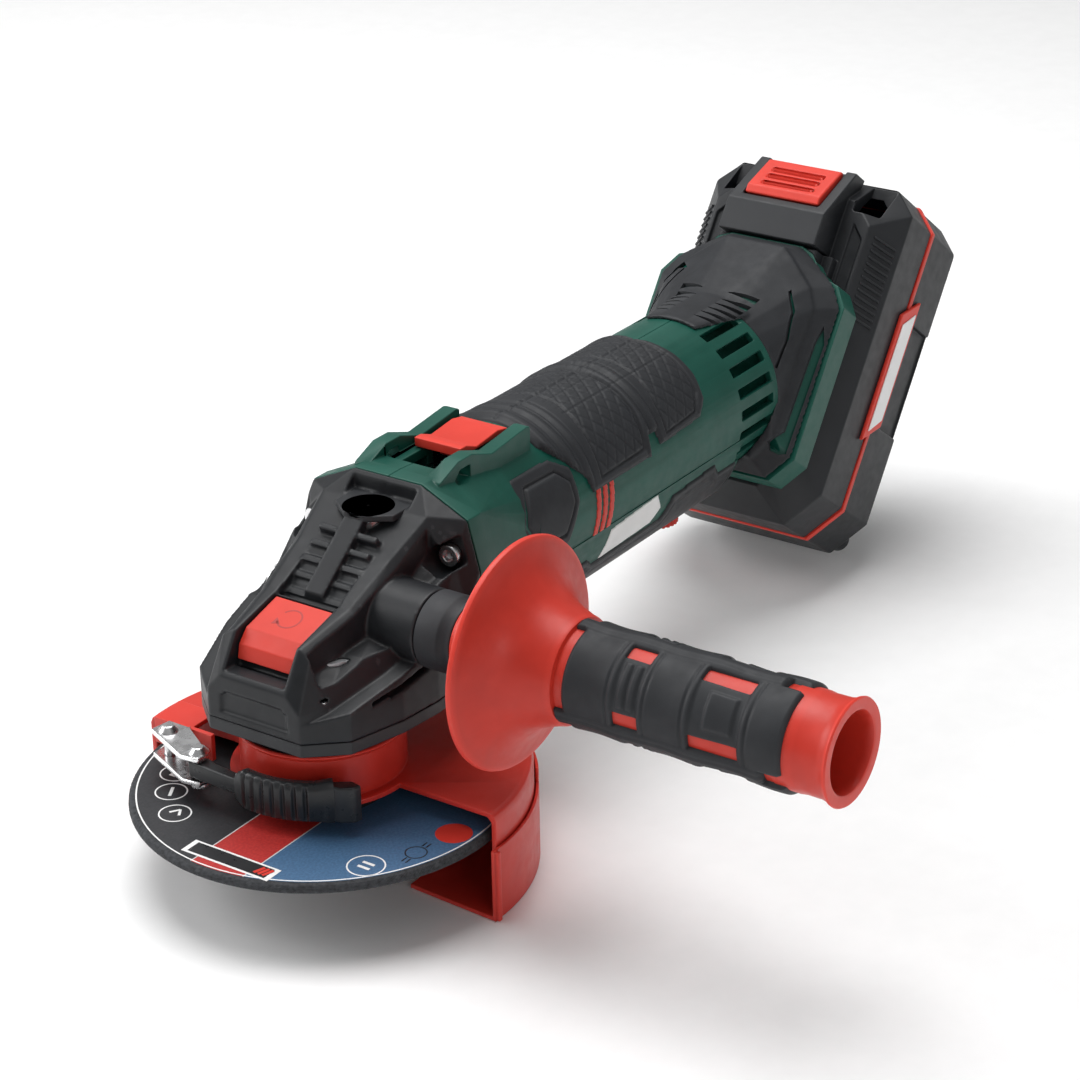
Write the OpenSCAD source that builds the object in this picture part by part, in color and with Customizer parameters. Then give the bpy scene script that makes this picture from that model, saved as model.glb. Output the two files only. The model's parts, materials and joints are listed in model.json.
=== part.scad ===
// Cordless angle grinder with side handle, quick-clamp guard and slide-on battery.
// Origin: spindle axis, middle of its free thread. +X nose, +Y handle side, +Z up.

/* [Disc and spindle] */
// Diameter of the abrasive disc
disc_d = 115; // [110:1:116]
// Thickness of the abrasive disc
disc_t = 3; // [1:0.5:3]
// Radius of the spindle thread
spindle_r = 7; // [6.8:0.1:7]
// Length of the spindle below the disc's top face
spindle_drop = 13; // [12:0.5:16]
/* [Guard] */
// Outer radius of the guard's skirt
guard_r = 61; // [60.5:0.5:62]
// Height of the skirt below its top plate
guard_h = 25.5; // [22:0.5:26]
// Sheet thickness of the guard
guard_t = 1.6; // [1.2:0.2:2]
// First angle of the half guard
guard_a0 = 90; // [80:5:100]
// Angle that the half guard covers
guard_sweep = 187; // [175:1:190]
/* [Body] */
// Height of the motor axis above the disc
motor_z = 54; // [54:0.5:54.5]
// Radius of the motor housing
barrel_r = 28.5; // [28.5:0.1:29]
// Wall thickness of the motor housing
wall = 2.4; // [2:0.2:2.4]
/* [Side handle] */
// Distance of the handle axis behind the spindle axis
handle_x = 12.5; // [11:0.5:14]
// Radius of the hand flange
flange_r = 34; // [30:1:36]
// Distance from the mid plane to the handle's open end
handle_end = 167; // [160:1:180]
/* [Battery] */
// Lean of the battery from upright
battery_tilt = 36; // [36:0.5:37]
// Width of the battery
battery_w = 78; // [76:1:80]
// Top of the battery along its own length axis
battery_top = 253; // [251:1:255]
// Depth of the rear shell
rear_depth = 31; // [28:1:34]

/* [Hidden] */
$fn = 96;

BLACK = "#2b2d2f";
RUBBER = "#232426";
GREEN = "#0f5a43";
RED = "#e8402a";
STEEL = "#b9bdc1";
COPPER = "#b87333";
eps = 0.05;
run_gap = 0.05;
root_r = spindle_r - 0.2;
tip_len = 3.7;

// Bevel pair: both pitch cones meet where the motor axis crosses the spindle axis
gear_teeth = 36;
pinion_teeth = 12;
gear_r = 19.5;
gear_in = 15;
pinion_r = gear_r * pinion_teeth / gear_teeth;
cone = atan(pinion_teeth / gear_teeth);
gear_bottom = 38;
web_top = 45.5;
lock_hole_r = 11.5;
roof_z = 48.4;
boss_top = 51.7;
crown_r = 17.4;
crown_z = 50.6;
tunnel_end = -13;

// Stack under the head
neck_r = 22.5;
neck_z = 8.2;
band_r = neck_r + run_gap;
band_top = 22.5;
plate_z = 8;
cover_z = 27;
cover_low = -25;
head_z = 31;
bearing_r = 17.5;
bearing_z0 = 12.2;
bearing_z1 = 23.2;

// Gear head
head_back = -36;
head_front = 30;
case_r = 21.2;
tunnel_r = 15;
button_x0 = 5;
button_x1 = 23.5;
button_w = 10.2;
insert_x = -26;
insert_z = 77;
screw_y = 24.5;
screw_z = 67;
boss_y = 33;
far_y = 24.4;
insert_len = 6.4;

// Motor housing
barrel_x0 = -70;
barrel_x1 = -190;
barrel_end = -211;
keel_z = motor_z - 7.5;
keel_r = barrel_r - 1.5;
motor_x0 = -60;
motor_x1 = -128;
can_r = 23;
slider_x0 = -84;
slider_x1 = -60;
slider_y = 8.5;
slider_travel = 8;
dial_x = -180;
dial_r = 7.5;
board_z = 34.5;

// Battery, in its own leaning frame: x is its front face's normal, z its length
foot_n = -146;
waist_n = -142;
face_n = -160;
band_n = -190;
band_t = 2.4;
rear_n = band_n - rear_depth;
bat_bottom = 131;
half_w = battery_w / 2;
shoe_half = 19;
shoe_n = -150;
cell_r = 9.1;
cell_len = 65;

function mirrored(half) =
    concat(half, [for (i = [len(half) - 1:-1:0]) [-half[i][0], half[i][1]]]);
function gear_crest(r) = motor_z - r * pinion_teeth / gear_teeth;

// Half outlines of the gear head across its width, from its base up to its rails
head_sections = [
    [head_back, [[31.5, 31], [32, 62], [28, 77], [12, 84.5]]],
    [-29, [[32, 31], [32, 53], [28, 68], [18.5, 78.5]]],
    [-14, [[31.5, 31], [31.5, 47], [25, 59], [19, 67.5], [16, 70]]],
    [3, [[28, 31], [26.5, 45], [18, 59.5], [14.5, 61.5]]],
    [22.5, [[21, 31], [20.5, 40], [15.5, 54.5], [12, 56.5]]],
    [head_front - 0.1, [[16.5, 31], [16.5, 40], [12, 45]]]];
head_plan = [[30, 16.5], [20.7, 27.3], [2.6, 32.1], [-12.3, 33.5], [head_back, 31.5],
    [head_back, -31.5], [-12.3, -33.5], [2.6, -32.1], [20.7, -27.3], [30, -16.5]];

module side_prism(pts, half) {
    translate([0, half, 0]) rotate([90, 0, 0]) linear_extrude(2 * half) polygon(pts);
}
module cross_prism(pts, x0, x1) {
    translate([x0, 0, 0]) rotate([90, 0, 90]) linear_extrude(x1 - x0) polygon(pts);
}
module plan_prism(pts, z0, z1) {
    translate([0, 0, z0]) linear_extrude(z1 - z0) polygon(pts);
}
module xcyl(r, x0, x1, z = motor_z, y = 0) {
    translate([x0, y, z]) rotate([0, 90, 0]) cylinder(r = r, h = x1 - x0);
}
module ycyl(r, y0, y1, x, z) {
    translate([x, y0, z]) rotate([-90, 0, 0]) cylinder(r = r, h = y1 - y0);
}
module zcyl(r, z0, z1, x = 0, y = 0) {
    translate([x, y, z0]) cylinder(r = r, h = z1 - z0);
}
module block(a, b) {
    translate(a) cube(b - a);
}
module both_sides() {
    children();
    mirror([0, 1, 0]) children();
}
module lean() {
    rotate([0, -battery_tilt, 0]) children();
}

// ---------------- gear head ----------------
module head_slice(i) {
    cross_prism(mirrored(head_sections[i][1]), head_sections[i][0], head_sections[i][0] + 0.1);
}
module head_outer() {
    for (i = [0:len(head_sections) - 2]) hull() {
        head_slice(i);
        head_slice(i + 1);
    }
    intersection() {
        plan_prism(head_plan, head_z, 62);
        side_prism([[head_back, head_z], [head_front, head_z], [head_front, 37], [head_back, 56.5]], 40);
    }
    ycyl(11.5, 20, boss_y, -handle_x, motor_z);
}
module head_cuts() {
    // shallow well for the threaded insert, then the sloping grille bed between the rails
    side_prism([[-34.5, 79], [-34.5, 90], [-20, 90], [-20, 78.2]], 11.5);
    side_prism([[-20.1, 75.8], [-20.1, 90], [4, 80], [4, 57.2], [1, 58.8]], 10.4);
    // pocket of the lock button
    side_prism([[1, 60.5], [1, 75], [32, 75], [32, 46.4], [24.2, 46.4], [24.2, 45.3], [21.75, 45.3],
        [21.75, 49.42], [17.8, 49.42], [17.8, 51.6], [4.4, 51.6], [4.4, 60.5]], button_w + 0.5);
    // side pockets with the head screws
    both_sides() {
        xcyl(4.6, head_back + 3, -24, screw_z, screw_y);
        translate([head_back + 3, screw_y, screw_z]) rotate([30, 0, 0])
            translate([0, 0, -4.2]) cube([13, 16, 8.4]);
    }
    // spindle and pinion spaces
    zcyl(case_r + 0.1, head_z - 1, roof_z + 1.1);
    zcyl(crown_r + 0.1, head_z, crown_z + 0.1);
    zcyl(8.1, head_z, boss_top + 0.05);
    xcyl(tunnel_r + 0.1, head_back - 1, tunnel_end + 0.1);
    zcyl(2.2, roof_z, 56, lock_hole_r);
    // threaded inserts, and the holes that lead to them
    zcyl(5.5, 69.5, insert_z, insert_x);
    zcyl(4.3, insert_z - 1, 90, insert_x);
    zcyl(8.6, 78.2, 90, insert_x);
    ycyl(5.5, far_y - insert_len, boss_y + 1, -handle_x, motor_z);
    ycyl(5.5, -40, insert_len - far_y, -handle_x, motor_z);
    // screw holes
    for (p = plate_screw_at()) zcyl(2.05, head_z - 1, 43, p[0], p[1]);
    for (p = head_screw_at()) {
        xcyl(1.85, head_back - 1, -30, p[1], p[0]);
        if (p[1] < motor_z) xcyl(3.6, -32, -28, p[1], p[0]);
    }
    // shallow panel on the nose and steps along both flanks
    block([head_front - 0.7, -12, 34.5], [head_front + 1, 12, 39.5]);
    both_sides() hull() {
        translate([-26, 30.2, 47]) cube([1, 4, 2]);
        translate([6, 29, 39.5]) cube([1, 6, 1.5]);
    }
}
function plate_screw_at() = [[21.5, 18], [21.5, -18], [-27, 23], [-27, -23]];
function head_screw_at() = [[screw_y, screw_z], [-screw_y, screw_z], [25.5, 38], [-25.5, 38]];

module head_shell() {
    color(BLACK) {
        difference() {
            head_outer();
            head_cuts();
        }
        // centre rib and the slats of the closed grille, trimmed by the gear case behind them
        difference() {
            union() {
                side_prism([[-20.6, 74], [-20.6, 78.2], [-19, 77.6], [0.8, 62], [0.8, 58.5]], 3.4);
                for (i = [0:4]) translate([-16.6 + 4 * i, 0, 73.2 - 3.5 * i]) rotate([0, 30, 0])
                    translate([-1, -10.45, -2]) cube([2, 20.9, 3.4]);
            }
            xcyl(tunnel_r + 0.1, head_back, tunnel_end + 0.1);
            zcyl(crown_r + 0.1, head_z, crown_z + 0.1);
            zcyl(8.1, head_z, boss_top + 0.05);
        }
    }
}
module gear_case() {
    color("#8d9296") difference() {
        union() {
            zcyl(case_r, head_z + eps, roof_z + 1);
            zcyl(crown_r, roof_z, crown_z);
            zcyl(8, roof_z, boss_top);
            xcyl(tunnel_r, head_back + eps, tunnel_end);
        }
        // the ceiling follows the gear's cone
        rotate_extrude() polygon([[0, head_z - 1], [case_r - 1.45, head_z - 1],
            [case_r - 1.45, roof_z], [18.4, roof_z], [gear_in - 0.2, gear_crest(gear_in) + 0.6],
            [0, gear_crest(gear_in) + 0.6]]);
        zcyl(6.02, roof_z - 1, boss_top - 0.4);
        zcyl(2.1, roof_z - 1, 56, lock_hole_r);
        xcyl(11.02, head_back - 1, -29);
        xcyl(12, -29.2, tunnel_end - 1.6);
        ycyl(5.6, far_y - insert_len, far_y, -handle_x, motor_z);
        ycyl(5.6, -far_y, insert_len - far_y, -handle_x, motor_z);
    }
}
module head_screws() {
    color(STEEL) for (p = head_screw_at()) {
        depth = p[1] > motor_z ? head_back + 3.1 : -32;
        difference() {
            union() {
                xcyl(3.4, depth, depth + 2.4, p[1], p[0]);
                xcyl(1.8, head_back - 13, depth + 0.1, p[1], p[0]);
            }
            xcyl(1.7, depth + 0.8, depth + 4, p[1], p[0]);
        }
    }
}
module thread_inserts() {
    color(STEEL) {
        difference() {
            zcyl(5.45, 69.6, insert_z - 0.1, insert_x);
            zcyl(4, 69, insert_z + 1, insert_x);
        }
        both_sides() difference() {
            ycyl(5.45, far_y - insert_len + 0.1, far_y, -handle_x, motor_z);
            ycyl(4, 10, far_y + 1, -handle_x, motor_z);
        }
    }
}
module bearing_plate() {
    color(BLACK) difference() {
        union() {
            plan_prism(head_plan, cover_z, head_z - eps);
            zcyl(neck_r, neck_z, cover_z + 1);
        }
        rotate_extrude() polygon([[neck_r - 1, 15], [neck_r + 1, 15], [neck_r + 1, 17.2],
            [neck_r - 1, 17.2]]);
        zcyl(11, neck_z - 1, bearing_z0);
        zcyl(bearing_r + 0.02, bearing_z0 - 0.1, head_z + 1);
        for (p = plate_screw_at()) {
            zcyl(2.05, cover_z - 1, head_z + 1, p[0], p[1]);
            zcyl(3.6, cover_z - 1, cover_z + 2.6, p[0], p[1]);
        }
    }
}
module plate_screws() {
    color(STEEL) for (p = plate_screw_at()) difference() {
        union() {
            zcyl(3.5, cover_z + 0.2, cover_z + 2.5, p[0], p[1]);
            zcyl(2, cover_z + 2.4, 42, p[0], p[1]);
        }
        zcyl(1.6, cover_z - 1, cover_z + 1.6, p[0], p[1]);
    }
}
module ball_bearing(outer, inner, h) {
    difference() {
        cylinder(r = outer, h = h);
        translate([0, 0, -1]) cylinder(r = inner, h = h + 2);
        for (z = [-1, h - 0.8]) translate([0, 0, z]) difference() {
            cylinder(r = outer - 2.2, h = 1.8);
            cylinder(r = inner + 1.8, h = 1.8);
        }
    }
}
module lower_bearing() {
    color(STEEL) translate([0, 0, bearing_z0]) ball_bearing(bearing_r, 7.5, bearing_z1 - bearing_z0);
}
module upper_bearing() {
    color(STEEL) difference() {
        zcyl(6, roof_z + 0.1, boss_top - 0.45);
        zcyl(4 + run_gap, roof_z - 1, 55);
    }
}
module spindle() {
    color(STEEL) {
        difference() {
            zcyl(spindle_r, -spindle_drop, -spindle_drop + tip_len);
            zcyl(root_r, -spindle_drop + tip_len - eps, 6.2);
            zcyl(3, -spindle_drop - 1, -spindle_drop + 4);
        }
        zcyl(9.5, 6.1, bearing_z0 - 0.3);
        zcyl(7.5 - run_gap, bearing_z0 - 0.4, 24);
        zcyl(9, 24, gear_bottom);
        zcyl(6, gear_bottom, 47);
        zcyl(4, 47, boss_top - 0.6);
    }
}
module bevel_teeth(n, r_in, r_out, root, crest, rise) {
    // each tooth is a thin radial blade; root and crest are measured from the pitch cone
    drop = (r_out - r_in) * rise;
    for (i = [0:n - 1]) rotate([90, 0, i * 360 / n]) translate([0, 0, -0.5]) linear_extrude(1)
        polygon([[r_in, -root], [r_out, -drop - root], [r_out, -drop + crest], [r_in, crest]]);
}
module bevel_gear() {
    rim = 1.3;
    color(STEEL) {
        difference() {
            rotate_extrude() polygon([[6.02, gear_bottom], [13, gear_bottom], [gear_r, gear_bottom + 5],
                [gear_r, gear_crest(gear_r) - rim], [gear_in, gear_crest(gear_in) - rim],
                [14, web_top], [6.02, web_top]]);
            for (a = [0:90:270]) rotate([0, 0, a]) zcyl(2.3, 39, 60, lock_hole_r);
        }
        translate([0, 0, gear_crest(gear_in)])
            bevel_teeth(gear_teeth, gear_in, gear_r, rim + 0.4, 0.2, pinion_teeth / gear_teeth);
    }
}
module pinion() {
    r_in = gear_in * pinion_teeth / gear_teeth;
    hub = r_in - 1.5;
    color(STEEL) translate([0, 0, motor_z]) rotate([0, -90, 0]) difference() {
        union() {
            translate([0, 0, gear_in]) cylinder(r = hub, h = gear_r - gear_in + 0.1);
            translate([0, 0, gear_r]) cylinder(r = pinion_r - 1.3, h = 3);
            for (i = [0:pinion_teeth - 1]) rotate([90, 0, (i + 0.5) * 360 / pinion_teeth])
                translate([0, 0, -0.5]) linear_extrude(1) polygon([[hub - 0.4, gear_in + 0.1],
                    [r_in + 0.2, gear_in + 0.1], [pinion_r + 0.1, gear_r - 0.1],
                    [pinion_r + 0.1, gear_r + 0.3], [hub - 0.4, gear_r + 0.3]]);
        }
        translate([0, 0, gear_in - 1]) cylinder(r = 2.52, h = 20);
    }
}
module inner_flange() {
    color(BLACK) difference() {
        union() {
            zcyl(19, 0.02, 2.6);
            translate([0, 0, 2.6]) cylinder(r1 = 18, r2 = 13, h = 3.4);
            zcyl(11.05, -2.6, 0.1);
        }
        zcyl(root_r + 0.02, -4, 8);
    }
}
module cutting_disc() {
    color("#33363a") difference() {
        zcyl(disc_d / 2, -disc_t, 0);
        zcyl(11.1, -disc_t - 1, 1);
    }
}
module lock_nut() {
    color(STEEL) difference() {
        union() {
            zcyl(19, -disc_t - 3.6, -disc_t - 0.02);
            zcyl(12, -disc_t - 6, -disc_t - 3.5);
        }
        zcyl(root_r + 0.02, -disc_t - 8, 0);
        for (a = [0:90:270]) rotate([0, 0, a]) zcyl(2.5, -disc_t - 8, -disc_t - 1, 15);
    }
}
module lock_button() {
    color(RED) {
        difference() {
            side_prism([[button_x0, 54.6], [button_x0, 60.1], [19, 56.2], [22.5, 52.4],
                [button_x1, 48.1], [21.9, 48.1], [21.9, 52.1], [18, 52.1], [18, 54.6]], button_w);
            zcyl(3.8, 50, 56.4, lock_hole_r);
        }
        zcyl(1.9, web_top + 0.25, 57, lock_hole_r);
    }
}
module coil(mean_r, wire_r, h, turns) {
    steps = 10;
    n = turns * steps;
    ring = 6;
    pts = [for (i = [0:n], k = [0:ring - 1])
        let (a = 360 * i / steps, q = 360 * k / ring, r = mean_r + wire_r * cos(q))
        [r * cos(a), r * sin(a), wire_r + (h - 2 * wire_r) * i / n + wire_r * sin(q)]];
    sides = [for (i = [0:n - 1], k = [0:ring - 1])
        let (a = i * ring, b = (i + 1) * ring, m = (k + 1) % ring)
        [a + k, b + k, b + m, a + m]];
    ends = [[for (k = [0:ring - 1]) k], [for (k = [ring - 1:-1:0]) n * ring + k]];
    polyhedron(pts, concat(sides, ends));
}
module lock_spring() {
    color(STEEL) translate([lock_hole_r, 0, 51.62]) coil(2.9, 0.35, 4.76, 4);
}

// ---------------- guard ----------------
module guard() {
    color(RED) {
        // clamp band with its rolled rim and the bead that runs in the neck's groove
        difference() {
            rotate_extrude() polygon([[band_r, plate_z], [band_r + 1.8, plate_z],
                [band_r + 1.8, band_top - 2], [band_r + 3.2, band_top - 0.6], [band_r + 2.4, band_top],
                [band_r, band_top - 1.2], [band_r, 16.9], [band_r - 0.85, 16.7], [band_r - 0.85, 15.5],
                [band_r, 15.3]]);
            rotate([0, 0, -58]) block([18, -2.5, plate_z + eps], [40, 2.5, 30]);
        }
        rotate_extrude() polygon([[20.5, plate_z - guard_t], [27.4, plate_z - guard_t],
            [27.4, plate_z], [20.5, plate_z]]);
        rotate([0, 0, guard_a0]) rotate_extrude(angle = guard_sweep) polygon([[27, plate_z - guard_t],
            [guard_r - 3, plate_z - guard_t], [guard_r - guard_t, plate_z - 3],
            [guard_r - guard_t, plate_z - guard_h], [guard_r, plate_z - guard_h],
            [guard_r, plate_z - 2.4], [guard_r - 0.7, plate_z - 0.7], [guard_r - 2.4, plate_z],
            [27, plate_z]]);
        // folded ears that carry the toggle clamp
        block([5, -50, plate_z - eps], [6.6, -25, 15]);
        block([5, -50, 13.4], [17, -36, 15]);
        block([15.4, -50, plate_z - guard_t], [17, -28, 15]);
    }
}
module sector(a0, a1, r, z0, z1) {
    points = [for (i = [0:4]) let (a = a0 + (a1 - a0) * i / 4) [r * cos(a), r * sin(a)]];
    plan_prism(concat([[0, 0]], points), z0, z1);
}
module guard_cover() {
    // clip-on cover that closes the guard from below: low ends and a taller middle
    r0 = guard_r + 0.35;
    color(RED) {
        difference() {
            rotate([0, 0, guard_a0 - 3]) rotate_extrude(angle = 175) polygon([[31, cover_low],
                [r0 + 1, cover_low], [r0 + 1, 2.5], [r0, 2.5], [r0, cover_low + 1.4],
                [31, cover_low + 1.4]]);
            sector(guard_a0 - 20, guard_a0 + 36, 90, -2, 5);
            sector(guard_a0 + 136, guard_a0 + 190, 90, -2, 5);
        }
        // folded end rib
        rotate([0, 0, guard_a0 - 2.6]) rotate_extrude(angle = 1.4)
            polygon([[r0 + 0.5, cover_low + 0.2], [guard_r + 2.6, cover_low + 0.2],
                [guard_r + 2.6, -2.3], [r0 + 0.5, -2.3]]);
    }
}
pivot_x = 27.2;
pivot_y = -24;
lever_z0 = 4.6;
lever_z1 = 17;
module clamp_lever() {
    color(BLACK) difference() {
        union() {
            // curved finger grip, its hooked tip and the shank back to its pivot
            rotate([0, 0, -14]) rotate_extrude(angle = 56) polygon([[28, lever_z0], [31.8, lever_z0],
                [31.8, lever_z1 - 1.2], [30.6, lever_z1], [28, lever_z1]]);
            plan_prism([[20.9, 18.5], [24.4, 19.8], [21.8, 27.4], [17.8, 28.2], [17, 23.8]],
                lever_z0, lever_z1 - 0.6);
            plan_prism([[28.2, -3], [31, -3], [31.2, -10], [30.4, -25.8], [27.4, -27.4],
                [24.4, -25], [26.8, -18]], 8.4, 13.6);
        }
        zcyl(1.6, 5, 20, pivot_x, pivot_y);
        for (a = [-8:9:28]) rotate([0, 0, a]) block([31.2, -0.7, 6], [34, 0.7, 14]);
    }
}
module clamp_link() {
    link = [[17.2, -44], [24, -45], [31.6, -27.5], [30.8, -21.5], [26.6, -20.6], [17.2, -36]];
    color(STEEL) {
        difference() {
            union() {
                plan_prism(link, 14, 15.6);
                plan_prism(link, 6.2, 7.8);
                block([17.1, -44, 6.2], [19, -36, 15.6]);
            }
            zcyl(1.6, 5, 20, pivot_x, pivot_y);
            zcyl(1.6, 5, 20, 22, -40);
        }
    }
}
module clamp_rivets() {
    color(STEEL) for (p = [[pivot_x, pivot_y, 1.55], [22, -40, 1.58]]) {
        zcyl(p[2], 5.6, 16.2, p[0], p[1]);
        translate([p[0], p[1], 15.65]) cylinder(r1 = 3.2, r2 = 1.6, h = 1.8);
        zcyl(3, 4.8, 6.15, p[0], p[1]);
    }
}

// ---------------- side handle ----------------
module handle_axis() {
    translate([-handle_x, 0, motor_z]) rotate([-90, 0, 0]) children();
}
module side_handle() {
    color(RED) handle_axis() difference() {
        rotate_extrude() polygon([[4.05, boss_y + 0.2], [9, boss_y + 0.2], [9, 45], [12, 46.2],
            [12.6, 51], [15, 55.6], [21, 58.6], [29, 59.9], [flange_r - 0.6, 60.4],
            [flange_r, 61.2], [flange_r - 0.2, 62.6], [flange_r - 3, 63.6], [25, 66],
            [20.6, 69.4], [17.6, 73.4], [15.6, 78], [14.8, 81.6], [12.6, 82],
            [12.6, 149], [14, 150], [14, 155], [13.6, 160], [14, handle_end - 3],
            [15.2, handle_end], [12, handle_end], [11, handle_end - 3], [10.4, 140], [4.05, 140]]);
        translate([0, 0, 90]) cylinder(r = 4.05, h = 60);
    }
}
module handle_sleeve() {
    color(RUBBER) handle_axis() difference() {
        union() {
            zcyl(11.5, boss_y + 0.2, 42);
            translate([0, 0, 42]) cylinder(r1 = 11.5, r2 = 10.4, h = 2.8);
        }
        zcyl(9.05, boss_y, 50);
    }
}
module handle_grip() {
    color(RUBBER) handle_axis() difference() {
        rotate_extrude() polygon([[12.65, 82.1], [15.6, 82.1], [15.2, 85], [15.4, 90], [15.4, 95],
            [14.8, 103], [15.3, 110], [15.5, 118], [14.9, 126], [15.3, 134], [15.4, 141],
            [15, 146], [14.6, 148.9], [12.65, 148.9]]);
        // windows through which the hard core shows
        for (a = [25, 95, 165, 235, 305]) {
            rotate([0, 0, a]) block([8, -4.5, 93], [20, 4.5, 99]);
            rotate([0, 0, a + 35]) block([8, -3, 116], [20, 3, 132]);
        }
    }
}
module handle_stud() {
    color(STEEL) handle_axis() zcyl(3.98, 18.2, 89);
}

// ---------------- motor housing ----------------
module barrel(r) {
    xcyl(r, barrel_end, barrel_x0);
    xcyl(keel_r - barrel_r + r, barrel_x1, barrel_x0 - 0.5, keel_z);
    block([barrel_x1, 0.8 - r, keel_z], [barrel_x0 - 0.5, r - 0.8, motor_z]);
}
module barrel_disc(r, x) {
    xcyl(r, x, x + 0.1, motor_z, $fn = 32);
    xcyl(r - 1.5, x, x + 0.1, keel_z, $fn = 32);
}
foot_plan = [[29.5, 141], [36.3, 150], [36.3, 204], [31.5, 211], [24.8, 213], [18.6, 220], [14, 222]];
waist_plan = [[24, 146], [29, 154], [29, 200], [25, 207], [19.5, 211], [15, 216], [11, 219]];
module leaning_plate(half_plan, n0, n1) {
    lean() cross_prism(mirrored(half_plan), n0, n1);
}
function shrunk(half_plan, d) =
    [for (p = half_plan) [p[0] - d, p[1] > 180 ? p[1] - d : p[1] + d]];
module foot_outer(d) {
    // flares from the barrel to a waist, then quickly out to the mounting plate
    hull() {
        xcyl(barrel_r - d, barrel_end, barrel_end + 0.1, $fn = 32);
        leaning_plate(shrunk(waist_plan, d), waist_n - 3, waist_n);
    }
    hull() {
        leaning_plate(shrunk(waist_plan, d + 0.02), waist_n - 1, waist_n - 0.9);
        leaning_plate(shrunk(foot_plan, d), foot_n - 3.6, foot_n - 3.5);
    }
}
module housing_solid() {
    barrel(barrel_r);
    hull() {
        cross_prism(mirrored([[28, 27], [31.5, 36], [32, 62], [28, 77], [12, 84.5]]),
            head_back - 6, head_back - eps);
        barrel_disc(barrel_r - 0.3, barrel_x0 - 2);
    }
    foot_outer(1.5);
    leaning_plate(foot_plan, face_n + 0.1, foot_n - 3);
    // fins that flank the switch
    both_sides() side_prism_at([[-85.8, 77], [-85.8, 85.4], [-84, 86], [-66, 84], [-56, 87.5],
        [-49, 87.5], [-40, 84], [-38, 78]], 10.4, 15.5);
}
module side_prism_at(pts, y0, y1) {
    translate([0, y1, 0]) rotate([90, 0, 0]) linear_extrude(y1 - y0) polygon(pts);
}
module housing_cavity() {
    difference() {
        xcyl(barrel_r - wall, barrel_end + 2, head_back - 6);
        // two rings that hold the motor, the wall behind the battery's channel and one screw post
        for (x = [-122, -66]) difference() {
            xcyl(barrel_r, x, x + 3);
            xcyl(can_r + 0.02, x - 1, x + 4);
        }
        lean() block([-190, -60, 100], [shoe_n + 3.2, 60, 260]);
        for (p = housing_screw_at()) if (p[1] > motor_z) ycyl(4.2, -40, 40, p[0], p[1]);
    }
    xcyl(tunnel_r + 0.2, head_back - 7, head_back + 1);
    lean() {
        // channel that takes the battery's shoe, open at its top, and the terminal block's seat
        block([face_n - 1, -shoe_half - 1.5, 152], [shoe_n + 0.6, shoe_half + 1.5, 240]);
        block([face_n - 1, -shoe_half - 4, 152], [face_n + 4.6, shoe_half + 4, 240]);
        block([-158.6, -16.05, 144.4], [-146, 16.05, 152.5]);
    }
    // slider slot, fin windows, side vents and the dial's slot
    block([slider_x0 - 3, -6, 76], [slider_x1 + slider_travel + 3, 6, 90]);
    block([-126, -3.2, 77.2], [-60, 3.2, 79.5]);
    block([slider_x0 - 3, -10.5, 82.6], [slider_x1 + slider_travel + 4, 10.5, 90]);
    both_sides() side_prism_at([[-55, 84.5], [-50, 84.5], [-46, 80.5], [-55, 80.5]], 9, 17);
    for (a = [-28:15:62]) both_sides() translate([0, 0, motor_z]) rotate([a, 0, 0])
        block([-208, 24, -1.7], [-188, 50, 1.7]);
    zcyl(dial_r + 0.8, 6, 24.6, dial_x);
    zcyl(3.3, 20, 32, dial_x);
    for (p = head_screw_at()) xcyl(1.85, head_back - 14, head_back + 1, p[1], p[0]);
    for (p = housing_screw_at()) {
        ycyl(3.4, -60, -17.5, p[0], p[1]);
        ycyl(1.85, -60, 14, p[0], p[1]);
    }
}
function housing_screw_at() = [[-150, 28.9], [-100, 28.9], [-183, 70]];
module housing_half(side) {
    color(GREEN) intersection() {
        difference() {
            housing_solid();
            housing_cavity();
        }
        translate([-320, side > 0 ? 0.03 : -60.03, -60]) cube([320, 60, 220]);
    }
}
module housing_left() { housing_half(1); }
module housing_right() { housing_half(-1); }
module grip_overmold() {
    // rubber grip that wraps the top and flanks of the barrel
    color(RUBBER) difference() {
        union() {
            xcyl(barrel_r + 1.2, -166, -88);
            xcyl(barrel_r + 2, -93, -86);
        }
        barrel(barrel_r + 0.05);
        translate([-200, -60, motor_z - 60]) cube([120, 120, 60]);
    }
}
module rear_overmold() {
    // rubber boot over the flare behind the barrel, with a spine that runs forward on top
    color(RUBBER) difference() {
        union() {
            difference() {
                foot_outer(0);
                foot_outer(1.45);
            }
            intersection() {
                xcyl(barrel_r + 1.3, -218, -189);
                plan_prism([[-189, 9.5], [-189, -9.5], [-213, -15], [-218, -15], [-218, 15], [-213, 15]],
                    70, 90);
            }
        }
        foot_outer(1.45);
        lean() block([-170, -60, 100], [foot_n - 2.6, 60, 260]);
        barrel(barrel_r + 0.05);
    }
}
module housing_screws() {
    color(STEEL) for (p = housing_screw_at()) difference() {
        union() {
            ycyl(3.2, -20.4, -17.6, p[0], p[1]);
            ycyl(1.8, -17.7, 12, p[0], p[1]);
        }
        ycyl(1.5, -22, -19, p[0], p[1]);
    }
}
module switch_slider() {
    color(RED) {
        side_prism([[slider_x0, 83], [slider_x0, 84.2], [slider_x0 + 5, 85.2], [slider_x1 - 8, 84],
            [slider_x1 - 3, 86], [slider_x1, 86], [slider_x1, 83]], slider_y);
        block([slider_x0 + 6, -4, 79.4], [slider_x1 - 6, 4, 83.1]);
    }
}
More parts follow.
